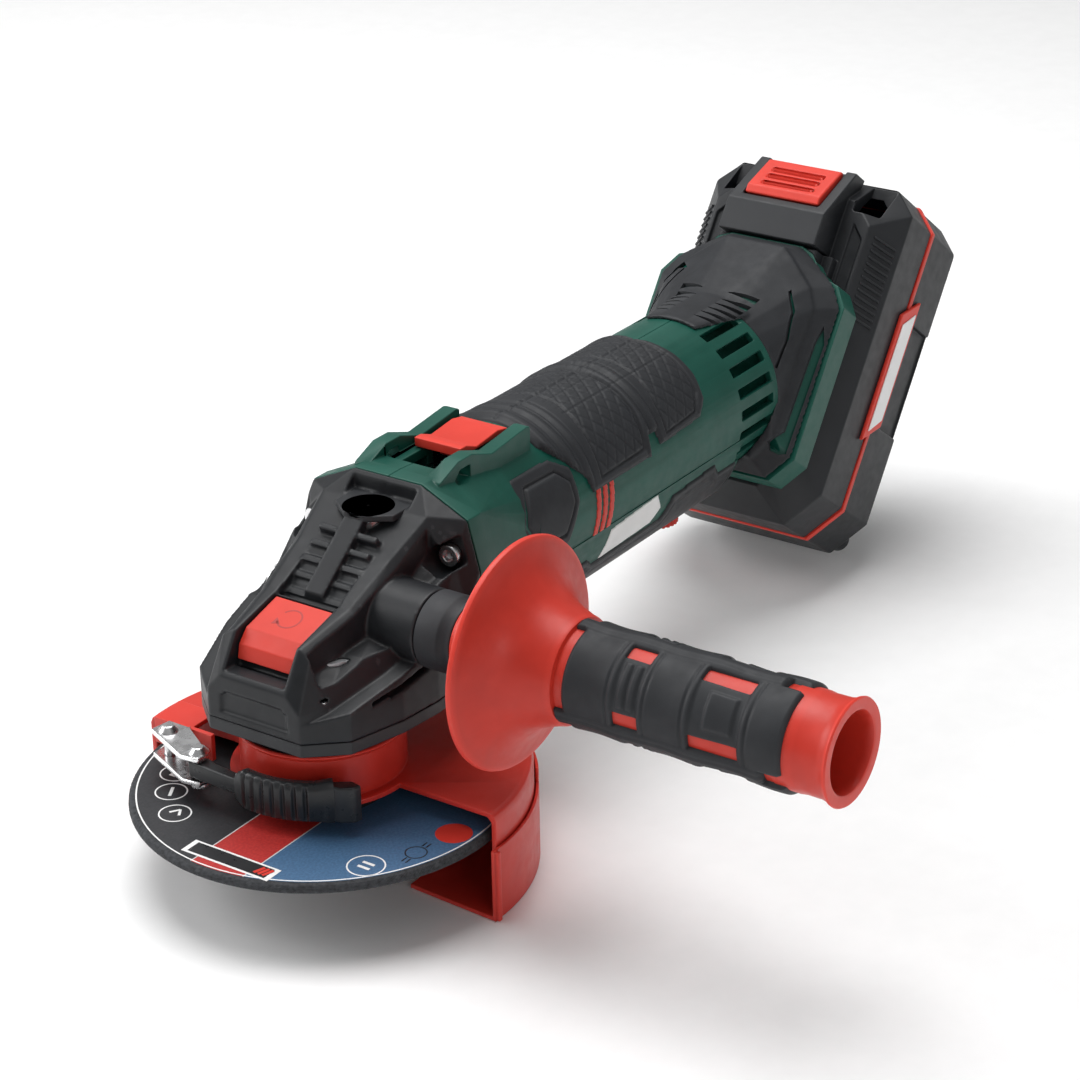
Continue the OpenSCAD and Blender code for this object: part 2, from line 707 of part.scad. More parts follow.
module switch_rod() {
    color(BLACK) {
        block([-150, -2.5, 77.8], [slider_x0 + 12, 2.5, 79.3]);
        block([-150, -2.5, 75], [-148.5, 2.5, 77.9]);
    }
}
module microswitch() {
    color(BLACK) {
        block([-166, -5, 64], [-151, 5, 75.5]);
        for (x = [-163, -155]) block([x, -1.5, 60], [x + 1, 1.5, 64.1]);
    }
}
module motor_can() {
    color("#6f757a") difference() {
        xcyl(can_r, motor_x1, motor_x0);
        xcyl(can_r - 1.6, motor_x1 - 1, motor_x0 - 2.5);
        xcyl(8, motor_x0 - 3, motor_x0 + 1);
        for (a = [45:90:315]) translate([0, 0, motor_z]) rotate([a, 0, 0])
            block([motor_x0 - 20, 18, -4], [motor_x0 - 8, 30, 4]);
    }
}
module motor_magnets() {
    color("#3b3b3f") for (a = [0, 180]) translate([motor_x0 - 52, 0, motor_z]) rotate([a, 0, 0])
        rotate([90, 0, 90]) rotate([0, 0, 28]) rotate_extrude(angle = 124)
            polygon([[17, 0], [can_r - 1.65, 0], [can_r - 1.65, 28], [17, 28]]);
}
module rotor_core() {
    color(COPPER) difference() {
        union() {
            xcyl(15.5, -112, -84);
            xcyl(11, -117, -79);
        }
        xcyl(2.55, -130, -60);
        for (a = [0:72:288]) translate([0, 0, motor_z]) rotate([a, 0, 0])
            block([-113, 11.5, -1.2], [-83, 17, 1.2]);
    }
}
module commutator() {
    color(COPPER) difference() {
        xcyl(6, -127, -118);
        xcyl(2.55, -130, -60);
        for (a = [0:36:324]) translate([0, 0, motor_z]) rotate([a, 0, 0])
            block([-128, 5.2, -0.25], [-117, 7, 0.25]);
    }
}
module rotor_shaft() {
    color(STEEL) {
        xcyl(2.5, -137, tunnel_end - 1.9);
        xcyl(3.95, -44, -22.7);
    }
}
module fan() {
    color(BLACK) difference() {
        union() {
            xcyl(23, -46, -44.6);
            xcyl(6, -56, -44.6);
            for (i = [0:10]) translate([0, 0, motor_z]) rotate([i * 360 / 11, 0, 0])
                block([-54, 9, -0.6], [-45, 22.6, 0.6]);
        }
        xcyl(2.52, -60, -43);
    }
}
module front_bearing() {
    color(STEEL) translate([-36.8, 0, motor_z]) rotate([0, 90, 0]) ball_bearing(11, 4, 7);
}
module rear_bearing() {
    color(STEEL) translate([-136, 0, motor_z]) rotate([0, 90, 0]) ball_bearing(8, 2.55, 5);
}
module brush_holders() {
    color("#5b4636") difference() {
        union() {
            xcyl(can_r - 1.65, -130.9, -128.2);
            xcyl(9.5, -137, -130);
            both_sides() block([-128.3, 8, motor_z - 5], [-118, 20, motor_z + 5]);
        }
        xcyl(8.02, -140, -130.9);
        xcyl(3.4, -140, -120);
        both_sides() block([-127, 5, motor_z - 3], [-119.5, 18, motor_z + 3]);
        xcyl(7.2, -128.2, -110);
    }
}
module carbon_brushes() {
    color("#3a3a3a") both_sides() block([-126.8, 6.1, motor_z - 2.9], [-119.7, 15, motor_z + 2.9]);
}
module speed_dial() {
    color(RED) translate([dial_x, 0, 14]) difference() {
        union() {
            cylinder(r = dial_r, h = 9);
            cylinder(r = 3, h = 18);
        }
        for (a = [0:15:345]) rotate([0, 0, a]) translate([dial_r, 0, -1]) cylinder(r = 0.5, h = 12);
    }
}
module control_board() {
    color("#1f6b3a") {
        block([-196, -15, board_z], [-146, 15, board_z + 1.6]);
        for (x = [-194, -174, -160]) block([x, -12, board_z + 1.5], [x + 9, -5, board_z + 7]);
        translate([dial_x, 0, 0]) difference() {
            zcyl(5, 29, board_z + 0.1);
            zcyl(3.1, 28, 32.1);
        }
    }
}
module wiring() {
    color("#a33") {
        for (y = [-11, -4, 4, 11]) xcyl(0.9, -208.1, -194, board_z - 0.95, y);
        // up from the board and forward to the brush holder
        both_sides() {
            zcyl(0.9, board_z + 1.65, 49, -148, 6);
            translate([-148, 6, 50]) sphere(r = 1.35);
            xcyl(0.9, -146.95, -137.05, 50, 6);
        }
        for (x = [-162.5, -154.5]) zcyl(0.9, board_z + 1.65, 59.95, x);
    }
}
module terminal_block() {
    color(BLACK) lean() {
        block([-158.5, -16, 144.5], [-149.6, 16, 151.9]);
        for (y = [-11, -4, 4, 11]) block([-158, y - 0.4, 151.8], [-152.5, y + 0.4, 162]);
    }
}

// ---------------- battery ----------------
function shell_plan(inset) = mirrored([[29 - inset, bat_bottom + inset],
    [half_w - inset, bat_bottom + 13 + inset], [half_w - inset, battery_top - 8 - inset],
    [half_w - 8 - inset, battery_top - inset]]);
module battery_block(inset, n0, n1) {
    cross_prism(shell_plan(inset), n0, n1);
}
module shoe() {
    // T-shaped rails that slide in the tool's foot
    block([face_n - 1, -shoe_half - 3.6, 153], [face_n + 4, shoe_half + 3.6, 222]);
    block([face_n - 1, -shoe_half, 153], [shoe_n, shoe_half, 222]);
}
module battery_front() {
    color(BLACK) lean() difference() {
        union() {
            difference() {
                union() {
                    battery_block(0, band_n + band_t / 2, face_n - 11);
                    hull() {
                        battery_block(0, face_n - 11.1, face_n - 11);
                        battery_block(9, face_n - 0.1, face_n);
                    }
                }
                battery_block(3, band_n, face_n - 12);
                hull() {
                    battery_block(3, face_n - 12.1, face_n - 12);
                    battery_block(12, face_n - 4.1, face_n - 4);
                }
            }
            shoe();
            // raised neck up to the latch
            side_prism([[face_n - 1, 222.6], [foot_n - 1, 222.6], [foot_n - 1, 234],
                [face_n - 0.5, battery_top + 0.6], [face_n - 8, battery_top + 0.6]], shoe_half);
            for (p = battery_screw_at()) battery_hole(p, 3.1, band_n + band_t / 2, band_n + 12);
        }
        // well of the latch button
        side_prism([[face_n - 3.8, 236.4], [foot_n + 2, 236.4], [foot_n + 2, 256],
            [face_n - 3.8, 256]], 14.9);
        for (p = battery_screw_at()) battery_hole(p, 1.55, band_n - 2, band_n + 11);
        // contact slots
        for (y = [-11, -4, 4, 11]) block([-158.6, y - 1.6, 148], [-151.6, y + 1.6, 165]);
    }
}
module battery_hole(p, r, n0, n1) {
    translate([n0, p[0], p[1]]) rotate([0, 90, 0]) cylinder(r = r, h = n1 - n0);
}
module battery_rear() {
    color(BLACK) lean() difference() {
        union() {
            difference() {
                union() {
                    battery_block(0, band_n - 22, band_n - band_t / 2);
                    hull() {
                        battery_block(0, band_n - 22, band_n - 21.9);
                        battery_block(7, rear_n, rear_n + 0.1);
                    }
                }
                battery_block(3, band_n - 22, band_n);
                hull() {
                    battery_block(3, band_n - 22, band_n - 21.9);
                    battery_block(10, rear_n + 3, rear_n + 3.1);
                }
            }
            for (p = battery_screw_at()) battery_hole(p, 4.2, rear_n + 2, band_n - band_t / 2);
        }
        for (p = battery_screw_at()) {
            battery_hole(p, 2.9, rear_n - 1, band_n - 14);
            battery_hole(p, 1.55, rear_n, band_n + 2);
        }
    }
}
module battery_band() {
    color(RED) lean() difference() {
        union() {
            battery_block(-0.5, band_n - band_t / 2 + eps, band_n + band_t / 2 - eps);
            both_sides() side_prism_at([[band_n - 5.5, 176], [band_n + 5.5, 168], [band_n + 5.5, 214],
                [band_n - 5.5, 222]], half_w + 0.05, half_w + 1.4);
        }
        difference() {
            battery_block(3, band_n - 3, band_n + 3);
            for (p = battery_screw_at()) battery_hole(p, 3.1, band_n - 4, band_n + 4);
        }
        for (p = battery_screw_at()) battery_hole(p, 1.7, band_n - 4, band_n + 5);
    }
}
function battery_screw_at() = [[27, 137.6], [-27, 137.6], [30.6, 244.4], [-30.6, 244.4]];
module battery_screws() {
    color(STEEL) lean() for (p = battery_screw_at()) {
        battery_hole(p, 2.7, band_n - 16.5, band_n - 14.05);
        battery_hole(p, 1.5, band_n - 14.1, band_n + 10);
    }
}
module battery_cells() {
    color("#3f7fb5") lean() for (i = [0:4], row = [0, 1])
        ycyl(cell_r, -cell_len / 2, cell_len / 2, band_n - 13 + row * 19, 151.8 + 18.6 * i);
}
module battery_board() {
    color("#1f6b3a") lean() block([face_n - 6.4, -26, 150], [face_n - 4.9, 26, 230]);
}
module battery_contacts() {
    // forked spring contacts that close on the tool's blades
    color(COPPER) lean() for (y = [-11, -4, 4, 11], side = [-1, 1])
        block([-158, y + side * 0.9 - 0.35, 154.5], [-152.2, y + side * 0.9 + 0.35, 164.9]);
}
module battery_latch() {
    color(RED) lean() difference() {
        side_prism([[face_n - 0.2, 237], [foot_n - 3, 237], [foot_n - 3, 240], [face_n + 1.6, 252.6],
            [face_n - 0.2, 252.6]], 14.4);
        for (i = [0:2]) translate([foot_n - 6.6 - 2.2 * i, -10, 243 + 3.1 * i]) rotate([0, 36, 0])
            cube([3, 20, 0.7]);
    }
}
module battery_label() {
    color("#d9dadb") lean() both_sides() side_prism_at([[band_n - 3.6, 178], [band_n + 3.6, 172],
        [band_n + 3.6, 211], [band_n - 3.6, 217]], half_w + 1.45, half_w + 1.9);
}

// Drawn from the disc's top face, then moved so that the origin is the middle of the spindle's free thread
translate([0, 0, spindle_drop - tip_len / 2]) {
    head_shell();
    gear_case();
    head_screws();
    thread_inserts();
    bearing_plate();
    plate_screws();
    lower_bearing();
    upper_bearing();
    spindle();
    bevel_gear();
    inner_flange();
    cutting_disc();
    lock_nut();
    lock_button();
    lock_spring();
    guard();
    guard_cover();
    clamp_lever();
    clamp_link();
    clamp_rivets();
    side_handle();
    handle_sleeve();
    handle_grip();
    handle_stud();
    housing_left();
    housing_right();
    grip_overmold();
    rear_overmold();
    housing_screws();
    switch_slider();
    switch_rod();
    microswitch();
    motor_can();
    motor_magnets();
    rotor_core();
    commutator();
    rotor_shaft();
    pinion();
    fan();
    front_bearing();
    rear_bearing();
    brush_holders();
    carbon_brushes();
    speed_dial();
    control_board();
    wiring();
    terminal_block();
    battery_front();
    battery_rear();
    battery_band();
    battery_cells();
    battery_board();
    battery_contacts();
    battery_latch();
    battery_screws();
    battery_label();
}
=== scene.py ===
"""Cordless angle grinder with side handle, guard and battery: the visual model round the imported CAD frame.

Shapes are given in millimetres from the disc's top face on the spindle axis: x along the motor to the
nose, y towards the side handle, z up. make_mesh() lifts them into the frame and turns them to metres.
"""

import json
from math import cos, floor, hypot, pi, radians, sin, sqrt

import bmesh
import bpy
from mathutils import Matrix, Vector


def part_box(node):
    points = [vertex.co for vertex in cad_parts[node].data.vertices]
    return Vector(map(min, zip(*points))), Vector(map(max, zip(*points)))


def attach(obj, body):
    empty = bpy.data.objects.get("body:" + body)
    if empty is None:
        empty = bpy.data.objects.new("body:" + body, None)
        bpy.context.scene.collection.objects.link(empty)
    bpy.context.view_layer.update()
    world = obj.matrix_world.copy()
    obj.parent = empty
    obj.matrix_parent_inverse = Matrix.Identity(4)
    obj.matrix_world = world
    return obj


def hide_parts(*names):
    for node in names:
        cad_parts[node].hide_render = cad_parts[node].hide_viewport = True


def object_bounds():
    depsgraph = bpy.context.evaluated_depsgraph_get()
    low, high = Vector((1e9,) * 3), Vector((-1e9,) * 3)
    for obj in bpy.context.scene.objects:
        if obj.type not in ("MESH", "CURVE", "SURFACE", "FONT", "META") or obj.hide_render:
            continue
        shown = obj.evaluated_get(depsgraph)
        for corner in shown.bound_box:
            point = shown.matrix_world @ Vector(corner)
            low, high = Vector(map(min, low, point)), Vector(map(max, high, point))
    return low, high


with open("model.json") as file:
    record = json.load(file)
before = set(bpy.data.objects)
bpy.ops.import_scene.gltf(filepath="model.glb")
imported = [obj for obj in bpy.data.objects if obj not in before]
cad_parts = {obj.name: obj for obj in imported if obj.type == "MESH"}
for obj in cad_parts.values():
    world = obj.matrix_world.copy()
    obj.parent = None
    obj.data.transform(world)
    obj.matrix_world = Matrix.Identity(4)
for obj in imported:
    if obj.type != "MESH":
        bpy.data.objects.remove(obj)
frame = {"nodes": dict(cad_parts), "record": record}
cad_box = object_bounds()

MM = 0.001
SPINDLE_DROP = 13.0             # the spindle's end below the disc's top face
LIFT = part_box("spindle")[0][2] / MM + SPINDLE_DROP

MOTOR_Z = 54.0                  # motor axis, which the side handle's axis meets
BARREL_R = 28.5
KEEL_DROP, KEEL_R = 7.5, 27.0   # rounded underside of the barrel: its axis below the motor's, and its radius
LEAN = radians(36)              # of the battery and boot, off upright
HANDLE_X = -12.5
INSERT_X, INSERT_R = -26.0, 5.5  # threaded insert in the top of the head
BUTTON_X = 11.8                 # middle of the lock button's sloping face
DISC_R = 57.5
WRAP = 0.42                     # grid of the fine reliefs wrapped on the barrel


# ---------------------------------------------------------------- materials
def node(mat, kind, **values):
    """A shader node with its settings and unlinked sockets filled in."""
    made = mat.node_tree.nodes.new("ShaderNode" + kind)
    for key, value in values.items():
        key = key.replace("_", " ") if key.replace("_", " ") in made.inputs else key
        if key in made.inputs:
            made.inputs[key].default_value = value
        else:
            setattr(made, key, value)
    return made


def wire(mat, source, target):
    mat.node_tree.links.new(source, target)


def shader_of(mat):
    return mat.node_tree.nodes["Principled BSDF"]


def noise(mat, size, detail=3.0, stretch=(1, 1, 1)):
    """Noise with features of about size millimetres, in the piece's own coordinates."""
    spot = node(mat, "TexCoord")
    scale = node(mat, "Mapping")
    scale.inputs["Scale"].default_value = stretch
    made = node(mat, "TexNoise", Scale=1.0 / (size * MM), Detail=detail)
    wire(mat, spot.outputs["Object"], scale.inputs["Vector"])
    wire(mat, scale.outputs["Vector"], made.inputs["Vector"])
    return made.outputs["Fac"]


def spread(mat, value, low, high, start=0.3, end=0.7):
    made = node(mat, "MapRange", From_Min=start, From_Max=end, To_Min=low, To_Max=high)
    wire(mat, value, made.inputs["Value"])
    return made.outputs["Result"]


def mixed(mat, fac, first, second):
    """A colour between two; each is a colour or a socket, and so is fac."""
    made = mat.node_tree.nodes.new("ShaderNodeMix")
    made.data_type = "RGBA"
    for value, socket in ((fac, made.inputs[0]), (first, made.inputs[6]), (second, made.inputs[7])):
        if isinstance(value, bpy.types.NodeSocket):
            wire(mat, value, socket)
        elif isinstance(value, tuple):
            socket.default_value = (*value, 1)
        else:
            socket.default_value = value
    return made.outputs[2]


def bump(mat, height, depth, distance=0.1):
    """Adds to the surface's relief: distance millimetres where height is 1."""
    shader = shader_of(mat)
    made = node(mat, "Bump", Strength=depth, Distance=distance * MM)
    wire(mat, height, made.inputs["Height"])
    before = shader.inputs["Normal"].links
    if before:
        wire(mat, before[0].from_socket, made.inputs["Normal"])
    wire(mat, made.outputs["Normal"], shader.inputs["Normal"])


def material(name, color, rough, change=0.12, grain=0.5, grain_depth=0.2, mottle=9.0, **sockets):
    """A moulded or machined surface: fine grain, slow colour change, uneven gloss, and convex edges painted lighter,
    partly as wear and partly as painted highlight.
    """
    mat = bpy.data.materials.new(name)
    mat.use_nodes = True
    mat.diffuse_color = (*color, 1)
    shader = shader_of(mat)
    for key, value in sockets.items():
        shader.inputs[key.replace("_", " ")].default_value = value
    dark = tuple(c * (1 - change) for c in color)
    light = tuple(min(1, c * (1 + change) + 0.002) for c in color)
    slow = spread(mat, noise(mat, mottle), 0, 1)
    base = mixed(mat, slow, dark, light)
    # convex edges (by pointiness) painted lighter: partly wear, partly a painted highlight standing in for the bevels'
    # reflections
    edge = node(mat, "NewGeometry")
    edge_wear_and_highlight = spread(mat, edge.outputs["Pointiness"], 0, 0.5, 0.505, 0.56)
    worn_and_lit_edge_color = tuple(min(1, c * 1.6 + 0.02) for c in color)
    wire(mat, mixed(mat, edge_wear_and_highlight, base, worn_and_lit_edge_color), shader.inputs["Base Color"])
    wire(mat, spread(mat, noise(mat, mottle * 0.4, 5), rough - 0.05, rough + 0.07), shader.inputs["Roughness"])
    if grain_depth:
        bump(mat, noise(mat, grain, 2), grain_depth, 0.06)
    return mat


BLACK = material("moulded_black", (0.0125, 0.0138, 0.016), 0.42, grain_depth=0.22, Specular_IOR_Level=0.3)
SMOOTH_BLACK = material("smooth_black", (0.010, 0.011, 0.0125), 0.30, grain_depth=0.06, Specular_IOR_Level=0.35)
RUBBER = material("soft_rubber", (0.0185, 0.0200, 0.0230), 0.55, grain=0.35, grain_depth=0.3,
                  Specular_IOR_Level=0.3)
GREEN = material("moulded_green", (0.0008, 0.058, 0.040), 0.40, change=0.08, grain_depth=0.2,
                 Specular_IOR_Level=0.3)
RED = material("moulded_red", (0.54, 0.030, 0.016), 0.40, change=0.06, grain_depth=0.1, Specular_IOR_Level=0.35)
RED_PAINT = material("powder_coat_red", (0.50, 0.026, 0.015), 0.36, change=0.06, grain=0.9, grain_depth=0.35,
                     Specular_IOR_Level=0.4)
STEEL = material("bright_steel", (0.62, 0.62, 0.63), 0.26, grain=0.25, grain_depth=0.12, Metallic=1.0)
CAST = material("die_cast", (0.42, 0.43, 0.44), 0.5, grain=0.8, grain_depth=0.4, Metallic=1.0)
GRIT = material("abrasive_grit", (0.030, 0.032, 0.036), 0.85, change=0.5, grain=0.7, grain_depth=1.0, mottle=1.2)
MAGNET = material("magnet", (0.10, 0.10, 0.11), 0.5, Metallic=0.6)
COPPER = material("copper", (0.72, 0.33, 0.19), 0.32, Metallic=1.0, grain=0.3)
CARBON = material("carbon", (0.03, 0.03, 0.032), 0.6)
PHENOLIC = material("phenolic", (0.17, 0.085, 0.045), 0.5)
BOARD = material("circuit_board", (0.012, 0.13, 0.05), 0.4)
WIRE = material("wire_cover", (0.5, 0.03, 0.02), 0.35)
CELL = material("cell_wrap", (0.05, 0.20, 0.40), 0.3)
LABEL = material("label_film", (0.74, 0.74, 0.73), 0.42, change=0.04, grain_depth=0.05)

SLOTS = {
    "black_plastic": BLACK, "rubber": RUBBER, "green_plastic": GREEN, "red_plastic": RED,
    "red_painted_steel": RED_PAINT, "steel": STEEL, "die_cast": CAST, "abrasive": GRIT,
    "magnet": MAGNET, "copper": COPPER, "carbon": CARBON, "phenolic": PHENOLIC,
    "circuit_board": BOARD, "wire": WIRE, "cell_wrap": CELL, "label": LABEL,
}
node_slot = {part["node"]: part["material_slot"] for part in frame["record"]["subparts"]}
node_body = {name: body for body, names in frame["record"]["behaviour"]["bodies"].items() for name in names}
for name, obj in frame["nodes"].items():
    obj.data.materials.clear()
    obj.data.materials.append(SLOTS[node_slot[name]])


# ---------------------------------------------------------------- mesh tools
def dress(obj, mat, body, replaces=()):
    obj.data.materials.clear()
    obj.data.materials.append(mat)
    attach(obj, body)
    if replaces:
        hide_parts(*replaces)
    return obj


def link(name, mesh):
    obj = bpy.data.objects.new(name, mesh)
    bpy.context.scene.collection.objects.link(obj)
    return obj


def make_mesh(name, points, faces):
    """A closed or open skin from points in millimetres, with its normals turned outwards."""
    mesh = bpy.data.meshes.new(name)
    mesh.from_pydata([(x * MM, y * MM, (z + LIFT) * MM) for x, y, z in points], [], faces)
    bm = bmesh.new()
    bm.from_mesh(mesh)
    bmesh.ops.remove_doubles(bm, verts=bm.verts, dist=1e-7)
    bmesh.ops.recalc_face_normals(bm, faces=bm.faces)
    bm.to_mesh(mesh)
    bm.free()
    return link(name, mesh)


def copy_node(name):
    """The CAD node's shape as a new piece, with its flat faces in one piece each."""
    source = frame["nodes"][name]
    obj = link(name + "_shape", source.data.copy())
    obj.matrix_world = source.matrix_world
    bm = bmesh.new()
    bm.from_mesh(obj.data)
    bmesh.ops.remove_doubles(bm, verts=bm.verts, dist=1e-6)
    bmesh.ops.dissolve_limit(bm, angle_limit=radians(0.6), verts=bm.verts, edges=bm.edges)
    bm.to_mesh(obj.data)
    bm.free()
    return obj


def bake(obj):
    """Applies all modifiers."""
    graph = bpy.context.evaluated_depsgraph_get()
    mesh = bpy.data.meshes.new_from_object(obj.evaluated_get(graph))
    old, obj.data = obj.data, mesh
    obj.modifiers.clear()
    bpy.data.meshes.remove(old)
    return obj


def carve(obj, tool, how="DIFFERENCE", solver="EXACT"):
    cut = obj.modifiers.new("cut", "BOOLEAN")
    cut.operation, cut.solver, cut.object = how, solver, tool
    bake(obj)
    bpy.data.objects.remove(tool)
    return obj


def triangulated(obj):
    bm = bmesh.new()
    bm.from_mesh(obj.data)
    bmesh.ops.triangulate(bm, faces=bm.faces)
    bm.to_mesh(obj.data)
    bm.free()
    return obj


def all_smooth(obj):
    obj.data.polygons.foreach_set("use_smooth", [True] * len(obj.data.polygons))
    return obj


def smooth(obj, angle=35):
    """Smooth shading, with edges sharper than the angle kept crisp."""
    mesh = all_smooth(obj).data
    mesh.update()
    mesh.set_sharp_from_angle(angle=radians(angle))
    return obj


def bevelled(obj, width, segments=2, angle=32, limit=False):
    smooth(obj, angle)
    round_off = obj.modifiers.new("bevel", "BEVEL")
    round_off.width, round_off.segments = width * MM, segments
    round_off.limit_method, round_off.angle_limit = "ANGLE", radians(angle)
    round_off.use_clamp_overlap = limit
    round_off.miter_outer = "MITER_ARC"
    bake(obj)
    return weighted(obj)


def weighted(obj, angle=50):
    smooth(obj, angle)
    even = obj.modifiers.new("normals", "WEIGHTED_NORMAL")
    even.keep_sharp = True
    return obj


def softened(obj, voxel=0.5, rounds=4, keep=1.0):
    """Rounds every edge of a solid: voxel remesh, smoothing, then thinning."""
    grid = obj.modifiers.new("remesh", "REMESH")
    grid.mode, grid.voxel_size, grid.use_smooth_shade = "VOXEL", voxel * MM, True
    if rounds:
        ease = obj.modifiers.new("ease", "SMOOTH")
        ease.factor, ease.iterations = 0.5, rounds
    if keep < 1:
        thin = obj.modifiers.new("thin", "DECIMATE")
        thin.ratio = keep
    return all_smooth(bake(obj))


def polished(name, mat=None, width=0.35, segments=2):
    """A CAD node with rounded edges, standing in for the node."""
    obj = bevelled(copy_node(name), width, segments)
    obj.name = name + "_finish"
    slot = node_slot[name]
    return dress(obj, mat or SLOTS[slot], node_body[name], (name,))


def loft(name, sections):
    """A skin through outlines that have the same number of points, with its ends closed."""
    count = len(sections[0])
    points = [p for outline in sections for p in outline]
    faces = []
    for i in range(len(sections) - 1):
        for j in range(count):
            k = (j + 1) % count
            faces.append((i * count + j, i * count + k, (i + 1) * count + k, (i + 1) * count + j))
    faces.append(tuple(range(count)))
    faces.append(tuple((len(sections) - 1) * count + j for j in range(count)))
    return make_mesh(name, points, faces)


def prism(name, outline, low, high, axis="y"):
    """An outline pushed through from low to high along an axis."""
    place = {"x": lambda a, b, c: (c, a, b), "y": lambda a, b, c: (a, c, b), "z": lambda a, b, c: (a, b, c)}[axis]
    return loft(name, [[place(a, b, c) for a, b in outline] for c in (low, high)])


def about_spindle(r, a, h):
    return (r * cos(a), r * sin(a), h)


def about_insert(r, a, h):
    return (INSERT_X + r * cos(a), r * sin(a), h)


def about_handle(r, a, h):
    return (HANDLE_X + r * cos(a), h, MOTOR_Z + r * sin(a))


def lathe(name, outline, at, steps):
    """A closed outline of (radius, height) turned about an axis."""
    points = [at(r, 2 * pi * i / steps, h) for i in range(steps) for r, h in outline]
    count, faces = len(outline), []
    for i in range(steps):
        for j in range(count):
            k, n = (j + 1) % count, (i + 1) % steps
            faces.append((i * count + j, i * count + k, n * count + k, n * count + j))
    return make_mesh(name, points, faces)


def leaning(x, y, z):
    """From the battery's own frame, n along its face's normal and s along its length."""
    return (x * cos(LEAN) - z * sin(LEAN), y, x * sin(LEAN) + z * cos(LEAN))


def joined(name, objs):
    """One mesh of several."""
    bm = bmesh.new()
    for obj in objs:
        bm.from_mesh(obj.data)
    mesh = bpy.data.meshes.new(name)
    bm.to_mesh(mesh)
    bm.free()
    for obj in objs:
        bpy.data.objects.remove(obj)
    return link(name, mesh)


def ramp(value, start, end):
    """0 before start, 1 after end, and smooth between."""
    t = min(1, max(0, (value - start) / (end - start)))
    return t * t * (3 - 2 * t)


def inside(x, y, outline):
    """Signed distance to an outline's edge, above zero inside it."""
    best, within = 1e9, False
    for i, (x0, y0) in enumerate(outline):
        x1, y1 = outline[i - 1]
        ex, ey = x1 - x0, y1 - y0
        t = min(1, max(0, ((x - x0) * ex + (y - y0) * ey) / (ex * ex + ey * ey)))
        best = min(best, hypot(x - x0 - t * ex, y - y0 - t * ey))
        if (y0 > y) != (y1 > y) and x < x0 + (y - y0) * ex / ey:
            within = not within
    return best if within else -best


def barrel_radius(angle):
    """Radius of the bare motor housing at an angle from straight up."""
    down = -KEEL_DROP * cos(angle)
    inner = KEEL_R ** 2 - KEEL_DROP ** 2 + down ** 2
    return max(BARREL_R, down + sqrt(max(inner, 0)))


def barrel_skin(name, x0, x1, a0, a1, height, step=0.5):
    """A relief wrapped on the motor housing: height(x, s) is its rise over the bare
    surface at x along the motor and s round it from the top, towards the side handle."""
    nx = max(2, round((x1 - x0) / step))
    na = max(2, round(radians(a1 - a0) * BARREL_R / step))
    points, faces = [], []
    for i in range(nx + 1):
        x = x0 + (x1 - x0) * i / nx
        for j in range(na + 1):
            angle = radians(a0 + (a1 - a0) * j / na)
            r = barrel_radius(angle) + height(x, angle * BARREL_R)
            points.append((x, r * sin(angle), MOTOR_Z + r * cos(angle)))
    for i in range(nx):
        for j in range(na):
            k = i * (na + 1) + j
            faces.append((k, k + 1, k + na + 2, k + na + 1))
    return all_smooth(make_mesh(name, points, faces))


# ---------------------------------------------------------------- gear head
def build_head():
    """The cast-looking head: two rails run from the shoulders down past the grille and the lock
    button, with a deep ledge outside each."""
    shell = copy_node("head_shell")
    for side in (1, -1):
        # ledge outside the rail: x, its wall, the floor at the wall, the floor's outer edge
        ledge = ((-27.5, 19.8, 68.5, 26.0, 65.0), (-19.0, 19.0, 62.5, 23.6, 60.8), (-6.5, 17.6, 60.6, 21.5, 60.4),
                 (-5.0, 17.4, 53.0, 24.6, 50.6), (8.0, 16.0, 50.6, 22.0, 50.0), (17.6, 14.6, 48.6, 19.6, 46.2),
                 (22.5, 14.2, 48.6, 17.6, 46.0))
        shell = carve(shell, loft("ledge", [
            [(x, side * y0, z0 + 30), (x, side * y0, z0), (x, side * y1, z1), (x, side * (y1 + 14), z1 + 1),
             (x, side * (y1 + 14), z0 + 30)] for x, y0, z0, y1, z1 in ledge]))
        if side > 0:
            boss = lathe("boss", [(5.6, 17.8), (11.5, 17.8), (11.5, 33), (5.6, 33)], about_handle, 96)
            shell = carve(shell, boss, "UNION")
        # step above the skirt, and a slit along the flank
        step = ((-30.0, 31.0, 47.5), (-4.0, 30.4, 42.5), (13.0, 25.0, 39.0))
        shell = carve(shell, loft("step", [
            [(x, side * (y - 1.5), z), (x, side * (y + 8), z), (x, side * (y + 8), z + 1.4),
             (x, side * (y - 1.5), z + 1.4)] for x, y, z in step]))
    nose = prism("nose_panel", [(-12.5, 33.5), (12.5, 33.5), (10.5, 40.5), (-10.5, 40.5)], 29.2, 34, "x")
    shell = carve(shell, nose)
    shell = softened(triangulated(shell), 0.42, 5, 0.45)
    shell.name = "gear_head"
    dress(shell, BLACK, "housing", ("head_shell",))
    # raised frame round the threaded insert, pointed towards the nose
    outline = [(-35.0, -10.6), (-24.0, -10.6), (-18.8, -3.4), (-18.8, 3.4), (-24.0, 10.6), (-35.0, 10.6)]
    seat = prism("insert_seat", outline, 76.9, 78.9, "z")
    seat = carve(seat, lathe("well", [(0.01, 70), (5.6, 70), (5.6, 77.5), (7.2, 77.9), (7.8, 82), (0.01, 82)],
                             about_insert, 64))
    dress(bevelled(seat, 0.4), BLACK, "housing")
    seat.name = "insert_frame"


